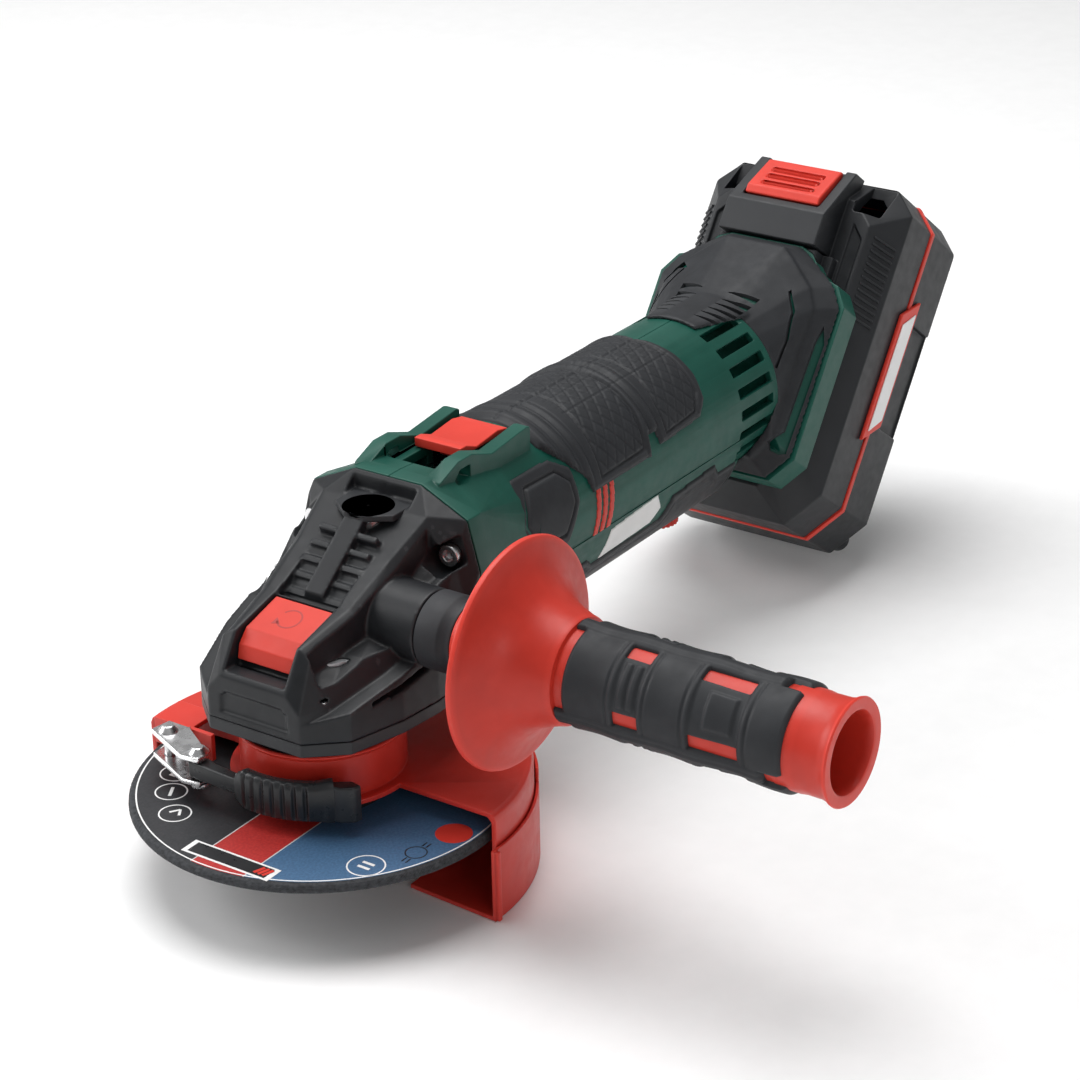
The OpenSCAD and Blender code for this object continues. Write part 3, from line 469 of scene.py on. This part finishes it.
def build_inserts():
    """Threaded steel inserts, with the thread's grooves seen in the open one."""
    grooves = [(4.0 + 0.28 * (i % 2), 70 + 0.55 * i) for i in range(12)]
    outline = grooves + [(4.0, 76.6), (4.5, 77.2), (5.4, 77.2), (INSERT_R, 77.0), (INSERT_R, 69.8), (4.2, 69.8)]
    top = lathe("thread_insert_top", outline, about_insert, 96)
    sides = []
    for side in (1, -1):
        bore = [(4.0 + 0.28 * (i % 2), side * (18.2 + 0.5 * i)) for i in range(12)]
        outline = bore + [(4.2, side * 24.4), (5.45, side * 24.4), (5.45, side * 18.1)]
        sides.append(lathe("insert", outline, about_handle, 64))
    for obj in (top, joined("thread_inserts_side", sides)):
        dress(weighted(obj, 30), STEEL, "housing", ("thread_inserts",))
    # dark plug deep in the well, where the thread ends
    dress(lathe("thread_floor", [(0.01, 69.7), (4.2, 69.7), (4.2, 70.4), (0.8, 70.1), (0.01, 70.1)],
                about_insert, 48), SMOOTH_BLACK, "housing")


def build_lock_button():
    """Rounded cap with a sunk ring arrow, drawn as a flat darker red film: painted shade of the sunk groove."""
    cap = bevelled(copy_node("lock_button"), 1.1, 4, 25, True)
    cap.name = "lock_button_cap"
    dress(cap, RED, "lock_button", ("lock_button",))
    # arrow ring lying in the sloping top face, which falls 3.9 mm over 14 mm
    top, back, slope, turns = 60.1, 5, 3.9 / 14, 40
    arc = [(r, radians(-60 + 300 * i / turns)) for i in range(turns + 1) for r in (3.3, 3.85)]
    flat = [(BUTTON_X + r * cos(a), r * sin(a)) for r, a in arc]
    flat += [(BUTTON_X + dx, dy) for dx, dy in ((2.6, -1.6), (0.6, -3.9), (3.4, -4.2))]
    points = [(x, y, top - slope * (x - back) + 0.03) for x, y in flat]
    faces = [(2 * i, 2 * i + 1, 2 * i + 3, 2 * i + 2) for i in range(turns)]
    faces.append((len(arc), len(arc) + 1, len(arc) + 2))
    mark = make_mesh("lock_button_mark", points, faces)
    thick = mark.modifiers.new("thick", "SOLIDIFY")
    thick.thickness = 0.06 * MM
    # the arrow's darker red is painted shade standing in for the sunk groove
    dress(bake(mark), GROOVE_SHADE_RED, "lock_button")


# darker copy of the button's red: painted shade for the sunk arrow
GROOVE_SHADE_RED = material("painted_groove_shade_red", (0.30, 0.012, 0.008), 0.5)
build_head()
build_inserts()
build_lock_button()
for name in ("bearing_plate", "head_screws", "lock_nut", "inner_flange"):
    polished(name)


# ---------------------------------------------------------------- motor housing and grip
GRIP_RISE = 1.2


def diamonds(x, s, pitch=3.1, depth=0.32):
    """Fine crossing grooves: 0 on a diamond's face, down to -depth in a groove."""
    groove = 0.0
    for sign in (1, -1):
        across = (x * 0.62 + sign * s * 0.42) / pitch
        groove = max(groove, 1 - abs(across - floor(across) - 0.5) / 0.12)
    return -depth * max(0.0, groove)


# outlines on the unrolled barrel: x along the motor, s round it from the top (the +y side)
def at_angle(x, degrees_from_top):
    return (x, radians(degrees_from_top) * BARREL_R)


GRIP_OUTLINE = [at_angle(-88.0, -1), at_angle(-88.0, 34), at_angle(-95.0, 54), at_angle(-99.8, 66),
                at_angle(-101.0, 76), at_angle(-133.0, 76), at_angle(-134.5, 63), at_angle(-139.0, 63),
                at_angle(-139.5, 73), at_angle(-163.5, 71), at_angle(-168.5, 62), at_angle(-170.5, 45),
                at_angle(-170.5, 28), at_angle(-169.0, 8), at_angle(-167.6, -1)]
FRONT_PAD = [at_angle(-110.5, -60), at_angle(-111.0, 16), at_angle(-108.5, 39), at_angle(-106.0, 70),
             at_angle(-130.5, 69), at_angle(-133.3, 47), at_angle(-134.0, 24), at_angle(-133.2, -60)]
REAR_PAD = [at_angle(-147.5, -60), at_angle(-147.0, 27), at_angle(-144.8, 49), at_angle(-143.5, 68),
            at_angle(-161.5, 66), at_angle(-165.6, 55), at_angle(-166.6, 33), at_angle(-165.0, -60)]


def grip_height(x, s):
    s = abs(s)
    edge = inside(x, s, GRIP_OUTLINE)
    if edge < -0.6:
        return -1.5
    h = GRIP_RISE * (0.35 + 0.65 * ramp(edge, 0, 1.4)) if edge > 0 else -1.5
    if edge <= 0:
        return h
    for pad in (FRONT_PAD, REAR_PAD):
        d = inside(x, s, pad)
        if d > 0:
            h += -0.12 + diamonds(x, s) * ramp(d, 0.3, 0.9)
        if abs(d) < 0.75:
            h -= 0.75 * (1 - ramp(abs(d), 0.15, 0.75))
    # folds of the collar and between the pads, which lean forward down the flanks
    lean_x = x - 0.09 * s
    for centre, width, rise in ((-92.5, 2.2, 0.9), (-98.5, 1.5, 0.5), (-103.5, 1.3, 0.4), (-136.5, 1.6, 0.55),
                                (-141.0, 1.6, 0.5)):
        reach = abs(lean_x - centre)
        if reach < 2 * width:
            h += rise * (1 - ramp(reach, 0.3 * width, width))
            h -= 0.25 * (1 - ramp(abs(reach - 1.35 * width), 0, 0.5))
    # fine lines along the top
    if s < 12 and -168 < x < -108:
        across = s / 2.4 + 0.5
        h -= 0.22 * max(0.0, 1 - abs(across - floor(across) - 0.5) / 0.10)
    return h


def build_grip():
    skin = barrel_skin("grip_rubber", -171.5, -86.0, -79, 79, grip_height, WRAP)
    dress(skin, RUBBER, "housing", ("grip_overmold",))


HEX_OUTLINE = [(-66.0, 22.0), (-68.5, 21.0), (-87.5, 21.5), (-94.5, 27.0), (-93.6, 37.5), (-86.0, 48.5), (-70.0, 47.0),
               (-62.0, 36.0)]
HEX_PLATE = [(-71.5, 25.5), (-87.0, 25.8), (-91.6, 30.5), (-91.0, 37.0), (-84.0, 45.0), (-70.5, 44.0), (-65.5, 36.0)]


def hex_height(x, s):
    s = abs(s)
    edge = inside(x, s, HEX_OUTLINE)
    if edge <= 0:
        return -1.5
    h = 0.9 * (0.4 + 0.6 * ramp(edge, 0, 1.2))
    d = inside(x, s, HEX_PLATE)
    if d > 0:
        h += 0.35 * ramp(d, 0.2, 1.6)
    if abs(d) < 0.7:
        h -= 0.8 * (1 - ramp(abs(d), 0.1, 0.7))
    return h


def build_hex_panels():
    for side, name in ((1, "left"), (-1, "right")):
        low, high = sorted((side * 38, side * 104))
        skin = barrel_skin("hex_panel_" + name, -95.5, -61.0, low, high, hex_height, WRAP)
        dress(skin, RUBBER, "housing")


# lower black panel: a band along the underside whose top edge steps up round the dial
BELT = [(-74.0, 96.0), (-74.0, 66.0), (-80.0, 60.5), (-100.0, 60.5), (-104.0, 63.5), (-143.0, 63.5), (-148.0, 57.0),
        (-173.0, 55.5), (-177.0, 60.0), (-188.0, 60.0), (-188.0, 96.0)]
BELT_INSET = [(-150.5, 60.0), (-171.5, 58.5), (-174.0, 61.5), (-152.5, 63.0)]


def belt_height(x, s):
    s = abs(s)
    edge = inside(x, s, BELT)
    if edge <= 0:
        return -1.5
    h = 0.8 * (0.4 + 0.6 * ramp(edge, 0, 1.0))
    d = inside(x, s, BELT_INSET)
    if d > 0:
        h -= 0.5 * ramp(d, 0, 0.6)
    if abs(edge - 2.6) < 0.6:
        h -= 0.35 * (1 - ramp(abs(edge - 2.6), 0.1, 0.6))
    return h


def build_belt():
    for side, name in ((1, "left"), (-1, "right")):
        low, high = sorted((side * 104, side * 180))
        skin = barrel_skin("belly_panel_" + name, -189.0, -73.0, low, high, belt_height, 0.6)
        dress(skin, BLACK, "housing")


PLATE = [(-107.5, 63.5), (-112.0, 54.8), (-138.5, 53.0), (-141.5, 58.5), (-136.5, 62.5)]


def plate_height(x, s):
    edge = inside(x, abs(s), PLATE)
    return 0.3 * ramp(edge, 0, 0.5) if edge > 0 else -1


def build_side_marks():
    """Three slanting red bars and a blank pale plate on each flank."""
    for side, name in ((1, "left"), (-1, "right")):
        low, high = sorted((side * 100, side * 131))
        plate = barrel_skin("flank_plate_" + name, -143.0, -105.0, low, high, plate_height, 0.35)
        dress(plate, LABEL, "housing")
        bars = []
        for i in range(3):
            x = -104.0 - 3.6 * i
            outline = [(x - 1.1, 35.5), (x + 1.1, 35.5), (x + 3.4, 52.5), (x + 1.2, 52.5)]
            low, high = sorted((side * 70, side * 108))
            bars.append(barrel_skin("bar", x - 2, x + 4, low, high,
                                    lambda x, s, o=outline: 0.35 if inside(x, abs(s), o) > 0 else -1, 0.35))
        dress(joined("flank_bars_" + name, bars), RED, "housing")


def build_housing():
    """The two moulded halves, smoothed where the shoulders run into the barrel."""
    for name in ("housing_left", "housing_right"):
        half = bevelled(copy_node(name), 0.35, 2)
        half.name = name + "_shell"
        dress(half, GREEN, "housing", (name,))


build_housing()
build_grip()
build_hex_panels()
build_belt()
build_side_marks()
for name in ("switch_slider", "speed_dial", "housing_screws"):
    polished(name)


# ---------------------------------------------------------------- side handle
UNIT = 120.0        # three rubber panels round the handle
UNIT_MIDDLE = 31.0
WINDOWS = ((101.8, 109.2), (125.5, 140.2))


def handle_height(y, angle):
    """Radius of the rubber at y, at an angle in degrees from the nose side."""
    off = (angle - UNIT_MIDDLE + UNIT / 2) % UNIT - UNIT / 2
    side = abs(off)
    r = 15.15 + 0.25 * cos((y - 82) / 67 * 6 * pi)
    rib = 1 - ramp(side, 50, 53)
    start, end = (85.2, 153.6) if side < 50 else (82.2, 147.5)
    if y < start or y > end:
        return 11.5
    r += 0.5 * (1 - rib) + 0.25 * ramp(side, 56.5, 58)
    for low, high in WINDOWS:
        if low < y < high and 31 < side < 47.5:
            return 11.5
        if low - 1.0 < y < high + 1.0 and side < 49:
            depth = min(ramp(y, low - 1, low + 0.3), 1 - ramp(y, high - 0.3, high + 1), 1 - ramp(side, 47.5, 49))
            r -= 0.7 * depth
        if side < 27:
            if high - low < 10:
                for bar in (0.3, 0.72):
                    middle = low + bar * (high - low)
                    r += 0.6 * (1 - ramp(abs(y - middle), 0.7, 1.3)) * (1 - ramp(side, 24, 26))
            else:
                middle, half = (low + high) / 2 + 1.0, 4.6
                reach = abs(y - middle)
                edge = min(half - reach, (22 - side) * 0.26, half * 1.25 - reach * 0.6 - side * 0.13)
                r += 0.65 * ramp(edge, 0, 0.9)
    # thin lines that frame the panels
    for middle in (99.6, 111.2, 123.2, 142.6):
        r -= 0.35 * (1 - ramp(abs(y - middle), 0.15, 0.5)) * (side < 49)
    ends = min(y - start, end - y)
    return r - 0.8 * (1 - ramp(ends, 0, 1.2))


def build_handle():
    rows, steps = 170, 224
    points, faces = [], []
    y0, y1 = 82.1, 153.8
    for i in range(rows + 1):
        y = y0 + (y1 - y0) * i / rows
        for j in range(steps):
            angle = 360 * j / steps
            points.append(about_handle(handle_height(y, angle), radians(angle), y))
    for i in range(rows):
        for j in range(steps):
            k = (j + 1) % steps
            faces.append((i * steps + j, i * steps + k, (i + 1) * steps + k, (i + 1) * steps + j))
    rubber = all_smooth(make_mesh("handle_rubber", points, faces))
    dress(rubber, RUBBER, "housing", ("handle_grip",))

    outline = [(4.1, 33.3), (9, 33.3), (9, 45), (11.4, 45.8), (12.2, 47.5), (12.6, 51), (13.6, 53.8), (15.6, 56.2),
               (19, 58), (24, 59.2), (29, 59.9), (33.0, 60.4), (33.8, 60.9), (34.0, 61.6), (33.7, 62.4),
               (32.8, 62.9), (31.4, 63.2), (28.6, 64.2), (25.6, 65.7), (22.8, 67.7), (20.4, 70.3), (18.6, 73.2),
               (17.2, 76.6), (16.2, 79.6), (15.8, 81.4), (15.4, 82.2), (14.2, 82.6), (14.2, 100), (13.9, 149.6),
               (14.1, 150), (14.1, 156), (13.8, 158), (13.9, 163), (14.4, 165), (15.0, 165.9), (15.2, 166.5),
               (14.9, 167.0), (12.4, 167.0), (11.7, 166.7), (11.3, 165.8), (11.0, 164), (10.4, 140), (4.1, 140)]
    core = lathe("handle_core", outline, about_handle, 192)
    dress(weighted(core, 40), RED, "housing", ("side_handle",))
    sleeve = lathe("handle_collar", [(9.05, 33.3), (11.1, 33.3), (11.5, 33.8), (11.5, 40.6), (11.1, 41.2), (10.9, 42.6),
                                     (10.6, 43.0), (10.6, 44.4), (10.3, 44.8), (9.05, 44.8)], about_handle, 96)
    dress(weighted(sleeve, 40), RUBBER, "housing", ("handle_sleeve",))


build_handle()


# ---------------------------------------------------------------- disc, guard and clamp
def disc_face():
    """Printed label on the disc: a red band between a black and a blue field, with pale seams."""
    mat = material("disc_label", (0.5, 0.5, 0.5), 0.55, grain=0.6, grain_depth=0.25)
    shader = shader_of(mat)
    place = node(mat, "TexCoord")
    parts = node(mat, "SeparateXYZ")
    wire(mat, place.outputs["Object"], parts.inputs["Vector"])
    across = parts.outputs["Y"]
    fleck = spread(mat, noise(mat, 0.8, 4), 0, 1, 0.4, 0.65)

    def step(edge):
        made = node(mat, "MapRange", From_Min=(edge - 0.05) * MM, From_Max=(edge + 0.05) * MM)
        wire(mat, across, made.inputs["Value"])
        return made.outputs["Result"]

    black = mixed(mat, fleck, (0.012, 0.013, 0.016), (0.020, 0.021, 0.025))
    red = mixed(mat, fleck, (0.40, 0.016, 0.014), (0.50, 0.026, 0.02))
    blue = mixed(mat, fleck, (0.045, 0.115, 0.225), (0.06, 0.15, 0.28))
    pale = (0.62, 0.62, 0.62)
    color = mixed(mat, step(-4.6), black, pale)
    color = mixed(mat, step(-4.2), color, red)
    color = mixed(mat, step(13.1), color, pale)
    color = mixed(mat, step(13.5), color, blue)
    wire(mat, color, shader.inputs["Base Color"])
    return mat


def flat_ring(name, x, y, inner, outer, z=0.12, turns=40, extra=()):
    """A thin printed ring, with thin bars given as (x0, y0, x1, y1, half width)."""
    points, faces = [], []
    for i in range(turns):
        angle = 2 * pi * i / turns
        points += [(x + r * cos(angle), y + r * sin(angle), z) for r in (inner, outer)]
        k = (i + 1) % turns
        faces.append((2 * i, 2 * i + 1, 2 * k + 1, 2 * k))
    for x0, y0, x1, y1, half in extra:
        length = hypot(x1 - x0, y1 - y0)
        ux, uy = (y0 - y1) / length * half, (x1 - x0) / length * half
        k = len(points)
        points += [(x + x0 + ux, y + y0 + uy, z), (x + x1 + ux, y + y1 + uy, z), (x + x1 - ux, y + y1 - uy, z),
                   (x + x0 - ux, y + y0 - uy, z)]
        faces.append((k, k + 1, k + 2, k + 3))
    obj = make_mesh(name, points, faces)
    thick = obj.modifiers.new("thick", "SOLIDIFY")
    thick.thickness = 0.05 * MM
    return bake(obj)


def build_disc():
    r = DISC_R
    edge = [(11.1, -3), (r - 1.0, -3), (r - 0.2, -2.6), (r, -1.9), (r - 0.1, -0.9), (r - 0.7, -0.15), (r - 2, 0),
            (11.1, 0)]
    disc = lathe("abrasive_disc", edge, about_spindle, 256)
    bm = bmesh.new()
    bm.from_mesh(disc.data)
    fine = [e for e in bm.edges if min(hypot(v.co.x, v.co.y) for v in e.verts) > (r - 2.5) * MM]
    bmesh.ops.subdivide_edges(bm, edges=fine, cuts=2, use_grid_fill=True)
    for v in bm.verts:
        reach = hypot(v.co.x, v.co.y)
        if reach > (r - 1.2) * MM:
            rough = 0.13 * MM * sin(v.co.x * 9100 + v.co.z * 5300) * sin(v.co.y * 7700 - v.co.z * 3100)
            v.co.x *= 1 - abs(rough) / reach
            v.co.y *= 1 - abs(rough) / reach
            v.co.z -= abs(rough)
    bm.to_mesh(disc.data)
    bm.free()
    dress(weighted(disc, 60), GRIT, "spindle", ("cutting_disc",))
    label = lathe("disc_print", [(19.2, 0.02), (55.6, 0.02), (55.6, 0.08), (19.2, 0.08)], about_spindle, 192)
    dress(label, disc_face(), "spindle")
    white, rings = [], ((28.9, -34.4), (37.8, -25.3), (19.8, -40.4), (31, 38.6))
    for i, (x, y) in enumerate(rings):
        size = 5.6 if i == 3 else 4.9
        marks = {0: ((-2.2, -1.2, 2.2, 1.2, 0.5),), 1: ((-2.4, 0, 0.4, 1.8, 0.4), (-2.4, 0, 0.4, -1.8, 0.4)),
                 2: ((-2, 0, 2, 0, 1.1),), 3: ((-1.2, -2, -1.2, 2, 0.5), (1.2, -2, 1.2, 2, 0.5))}[i]
        white.append(flat_ring("ring", x, y, size - 0.45, size, extra=marks))
    white.append(flat_ring("rim", 0, 0, 54.9, 55.35, turns=160))
    dress(joined("disc_marks_pale", white), LABEL, "spindle")
    dots = [flat_ring("dot", 3.6, 48.9, 0.01, 5.4)]
    dress(joined("disc_mark_red", dots), RED_PAINT, "spindle")
    wings = tuple((x, y, x + 2.4, y, 0.2) for x, y in ((-6, 0.8), (3.6, 0.8), (-6, -0.6), (3.6, -0.6)))
    dress(flat_ring("disc_mark_dark", 17.8, 46.1, 2.9, 3.3, extra=wings), SMOOTH_BLACK, "spindle")
    # generic striped plate where a maker's strip would be
    strip = [flat_ring("plate", 0, 0, 0.01, 0.02, 0.11, 8, ((49.2, -10.5, 49.2, 20.5, 3.3),))]
    dress(joined("disc_plate", strip), LABEL, "spindle")
    bars = flat_ring("bars", 0, 0, 0.01, 0.02, 0.19, 8, ((49.2, -8.8, 49.2, 18.8, 2.5),))
    dress(bars, SMOOTH_BLACK, "spindle")
    stripes = flat_ring("stripes", 0, 0, 0.01, 0.02, 0.25, 8, tuple(
        (50.9, y, 47.3, y + 1.2, 0.55) for y in (14.6, 16.1, 17.6)))
    stripes.name = "disc_stripes"
    dress(stripes, RED_PAINT, "spindle")


def build_lever():
    """Black toggle lever with seven finger ribs and a hooked tip."""
    count, middle = 150, 10.8
    outline = [(28.2, 5.0), (30.6, 4.6), (31.6, 5.2), (32.1, 6.8), (32.2, 10.5), (32.1, 14.6), (31.5, 16.4),
               (30.4, 17.0), (28.6, 16.8), (28.1, 16.0)]
    sections = []
    for i in range(count + 1):
        angle = -14 + 57.5 * i / count
        rib = 0.0
        if -9 < angle < 33:
            phase = ((angle + 9) / 6.0) % 1
            rib = -0.75 * (ramp(phase, 0.04, 0.24) - ramp(phase, 0.36, 0.56))
        taper = 1.0 - 0.25 * (1 - ramp(angle, -14, -9)) + 0.1 * ramp(angle, 33, 42)
        a = radians(angle)
        ribbed = [(r + rib if r > 31 and 6 < z < 15 else r, middle + (z - middle) * taper) for r, z in outline]
        sections.append([(r * cos(a), r * sin(a), z) for r, z in ribbed])
    grip = weighted(loft("lever_grip", sections), 45)
    hook = [(20.9, 18.8), (23.6, 19.4), (23.0, 24.0), (20.6, 27.4), (17.9, 27.9), (17.2, 24.0)]
    hook = bevelled(prism("lever_hook", hook, 4.8, 16.2, "z"), 0.8, 3)
    shank = [(28.2, -3), (31, -3), (31.2, -10), (30.4, -25.8), (27.4, -27.4), (24.4, -25), (26.8, -18)]
    shank = bevelled(prism("lever_shank", shank, 8.4, 13.6, "z"), 0.7, 2)
    dress(grip, SMOOTH_BLACK, "clamp_lever", ("clamp_lever",))
    dress(hook, SMOOTH_BLACK, "clamp_lever")
    dress(shank, SMOOTH_BLACK, "clamp_lever")


build_disc()
build_lever()
polished("guard", RED_PAINT, 0.3)
polished("guard_cover", RED_PAINT, 0.3)
polished("clamp_link", STEEL, 0.45, 3)
polished("clamp_rivets", STEEL, 0.35, 3)


# ---------------------------------------------------------------- rear boot
def lean_box(name, n, y, s):
    """A box in the battery's leaning frame."""
    corners = [(y[0], s[0]), (y[1], s[0]), (y[1], s[1]), (y[0], s[1])]
    return loft(name, [[leaning(depth, a, b) for a, b in corners] for depth in n])


def lean_prism(name, outline, n0, n1):
    """An outline of (y, s) pushed along the battery's face normal."""
    return loft(name, [[leaning(n, y, s) for y, s in outline] for n in (n0, n1)])


def build_boot():
    boot = softened(triangulated(copy_node("rear_overmold")), 0.5, 6, 0.5)
    for side in (1, -1):
        # wedge ribs along the spine
        for i in range(6):
            x = -194.5 - 4.3 * i
            points = []
            for along, half, depth in ((5.0, 0.25, 0.15), (14.5, 1.5, 1.1)):
                a = side * along / 29.8
                for dx, r in ((-half, 29.8 - depth), (half, 29.8 - depth), (half, 34), (-half, 34)):
                    points.append((x + dx - 0.25 * along, r * sin(a), MOTOR_Z + r * cos(a)))
            boot = carve(boot, loft("wedge", [points[:4], points[4:]]), solver="MANIFOLD")
        # long slot beside the foot plate, which shows the green housing
        slot = [(31.4, 150), (33.6, 151), (34.2, 190), (32.6, 196), (31.6, 190), (31.2, 158), (28.0, 153),
                (28.6, 150.5)]
        boot = carve(boot, lean_prism("slot", [(side * y, s) for y, s in slot], -149.6, -135), solver="MANIFOLD")
        # curved fold on the flank
        fold = [(20.5, 203), (24.5, 196), (26.2, 186), (26.4, 176), (27.2, 176), (27.0, 187), (25.2, 197), (21, 204)]
        boot = carve(boot, lean_prism("fold", [(side * y, s) for y, s in fold], -143.6, -120), solver="MANIFOLD")
    slit = [(-30.5, 196.5), (-24.0, 203.5), (-19.5, 204.0), (-23.5, 206.5), (-31.0, 199.5)]
    boot = carve(boot, lean_prism("slit", slit, -147.5, -130), solver="MANIFOLD")
    boot.name = "rear_boot"
    smooth(boot, 40)
    dress(boot, RUBBER, "housing", ("rear_overmold",))


# ---------------------------------------------------------------- battery
def build_battery():
    front = copy_node("battery_front")
    for side in (1, -1):
        y0, y1 = sorted((side * 22.0, side * 31.0))
        front = carve(front, lean_box("shoulder", (-170.6, -150), (y0, y1), (240.4, 262)))
        # stepped relief down the front, outside the rail channel
        step = [(24.0, 236.0), (28.5, 231.0), (28.5, 150.0), (24.0, 145.0)]
        front = carve(front, lean_prism("panel", [(side * y, s) for y, s in step], -161.0, -150))
    front = bevelled(front, 0.55, 2)
    front.name = "battery_front_shell"
    dress(front, BLACK, "battery", ("battery_front",))
    ribs = []
    for side in (1, -1):
        for i in range(13):
            s = 203.5 + 2.35 * i
            ends = []
            for n, y, shift in ((-162.3, 32.1, 1.6), (-169.2, 37.7, 0.0)):
                ends.append([leaning(n + dn, side * (y + dy), s + shift + ds) for dn, dy, ds in
                             ((-1.2, -1.0, -0.55), (-1.2, -1.0, 0.55), (0.45, 0.38, 0.35), (0.45, 0.38, -0.35))])
            ribs.append(loft("rib", ends))
    dress(bevelled(joined("battery_side_ribs", ribs), 0.15, 1), BLACK, "battery")

    rear = copy_node("battery_rear")
    # the wall is thickened inwards, clear of the cells, where the lower step is cut into it
    thick = [[leaning(n, y, s) for y, s in ((-half, 145.5), (half, 145.5), (half, 171), (-half, 171))]
             for n, half in ((-219.6, 31.4), (-212.4, 36.6))]
    rear = carve(rear, loft("thickening", thick), "UNION")
    rear = carve(rear, lean_box("step", (-230, -219.4), (-45, 45), (217, 231)))
    rear = carve(rear, lean_box("step", (-230, -218.6), (-45, 45), (148, 168)))
    rear = carve(rear, lean_box("step", (-230, -214.6), (-45, 45), (151, 163)))
    for side in (1, -1):
        y0, y1 = sorted((side * 36.6, side * 45))
        rear = carve(rear, lean_box("grip", (-214, -197), (y0, y1), (176, 214)))
    rear = bevelled(rear, 0.7, 3)
    rear.name = "battery_rear_shell"
    dress(rear, BLACK, "battery", ("battery_rear",))

    band = bevelled(copy_node("battery_band"), 0.4, 2)
    band.name = "battery_red_band"
    dress(band, RED, "battery", ("battery_band",))
    polished("battery_label", LABEL, 0.15)
    latch = bevelled(copy_node("battery_latch"), 0.7, 3)
    latch.name = "battery_latch_button"
    dress(latch, RED, "latch", ("battery_latch",))
    polished("battery_screws")


build_boot()
build_battery()


# ---------------------------------------------------------------- camera, light and floor
def studio():
    azimuth, elevation, roll = radians(34.92), radians(25.11), radians(-1.15)
    distance, right_shift, up_shift = 877.2, 62.65, 70.75
    out = Vector((cos(azimuth) * cos(elevation), sin(azimuth) * cos(elevation), sin(elevation)))
    side = Vector((-sin(azimuth), cos(azimuth), 0))
    up = out.cross(side)
    right = cos(roll) * side + sin(roll) * up
    top = cos(roll) * up - sin(roll) * side
    place = out * distance + right * right_shift + top * up_shift + Vector((0, 0, LIFT))
    camera = bpy.data.objects.new("camera", bpy.data.cameras.new("camera"))
    bpy.context.scene.collection.objects.link(camera)
    camera.data.lens, camera.data.sensor_width = 100, 36
    camera.data.clip_start, camera.data.clip_end = 0.01, 20
    turn = Matrix((right, top, out)).transposed().to_4x4()
    camera.matrix_world = Matrix.Translation(place * MM) @ turn
    bpy.context.scene.camera = camera

    world = bpy.data.worlds.new("studio")
    world.use_nodes = True
    sky = world.node_tree.nodes["Background"]
    sky.inputs["Color"].default_value = (1, 1, 1, 1)
    sky.inputs["Strength"].default_value = WORLD_LIGHT
    bpy.context.scene.world = world

    middle = Vector((-0.1, 0.03, 0.05))
    for name, place, size, power in SOFT_BOXES:
        light = bpy.data.lights.new(name, "AREA")
        light.shape, light.size, light.size_y, light.energy = "RECTANGLE", size[0], size[1], power
        box = bpy.data.objects.new(name, light)
        bpy.context.scene.collection.objects.link(box)
        place = Vector(place)
        box.matrix_world = Matrix.Translation(place) @ (place - middle).to_track_quat("Z", "Y").to_matrix().to_4x4()

    floor_z, reach = cad_box[0][2], 6.0
    mesh = bpy.data.meshes.new("floor")
    corners = [(-reach, -reach), (reach, -reach), (reach, reach), (-reach, reach)]
    mesh.from_pydata([(x, y, floor_z - 0.0002) for x, y in corners], [], [(0, 1, 2, 3)])
    ground = bpy.data.objects.new("floor", mesh)
    bpy.context.scene.collection.objects.link(ground)
    mesh.materials.append(material("pale_floor", (0.93, 0.93, 0.93), 0.7, change=0.01, grain=3, grain_depth=0.02))
    bpy.context.scene.view_settings.view_transform = "Standard"


WORLD_LIGHT = 0.3
SOFT_BOXES = (
    ("soft_box_top", (-0.25, -0.25, 1.3), (1.0, 1.0), 17),
    ("soft_box_left", (0.5, -1.2, 0.8), (0.9, 0.8), 12),
    ("soft_box_right", (0.7, 1.2, 0.5), (0.5, 0.5), 2),
)
studio()
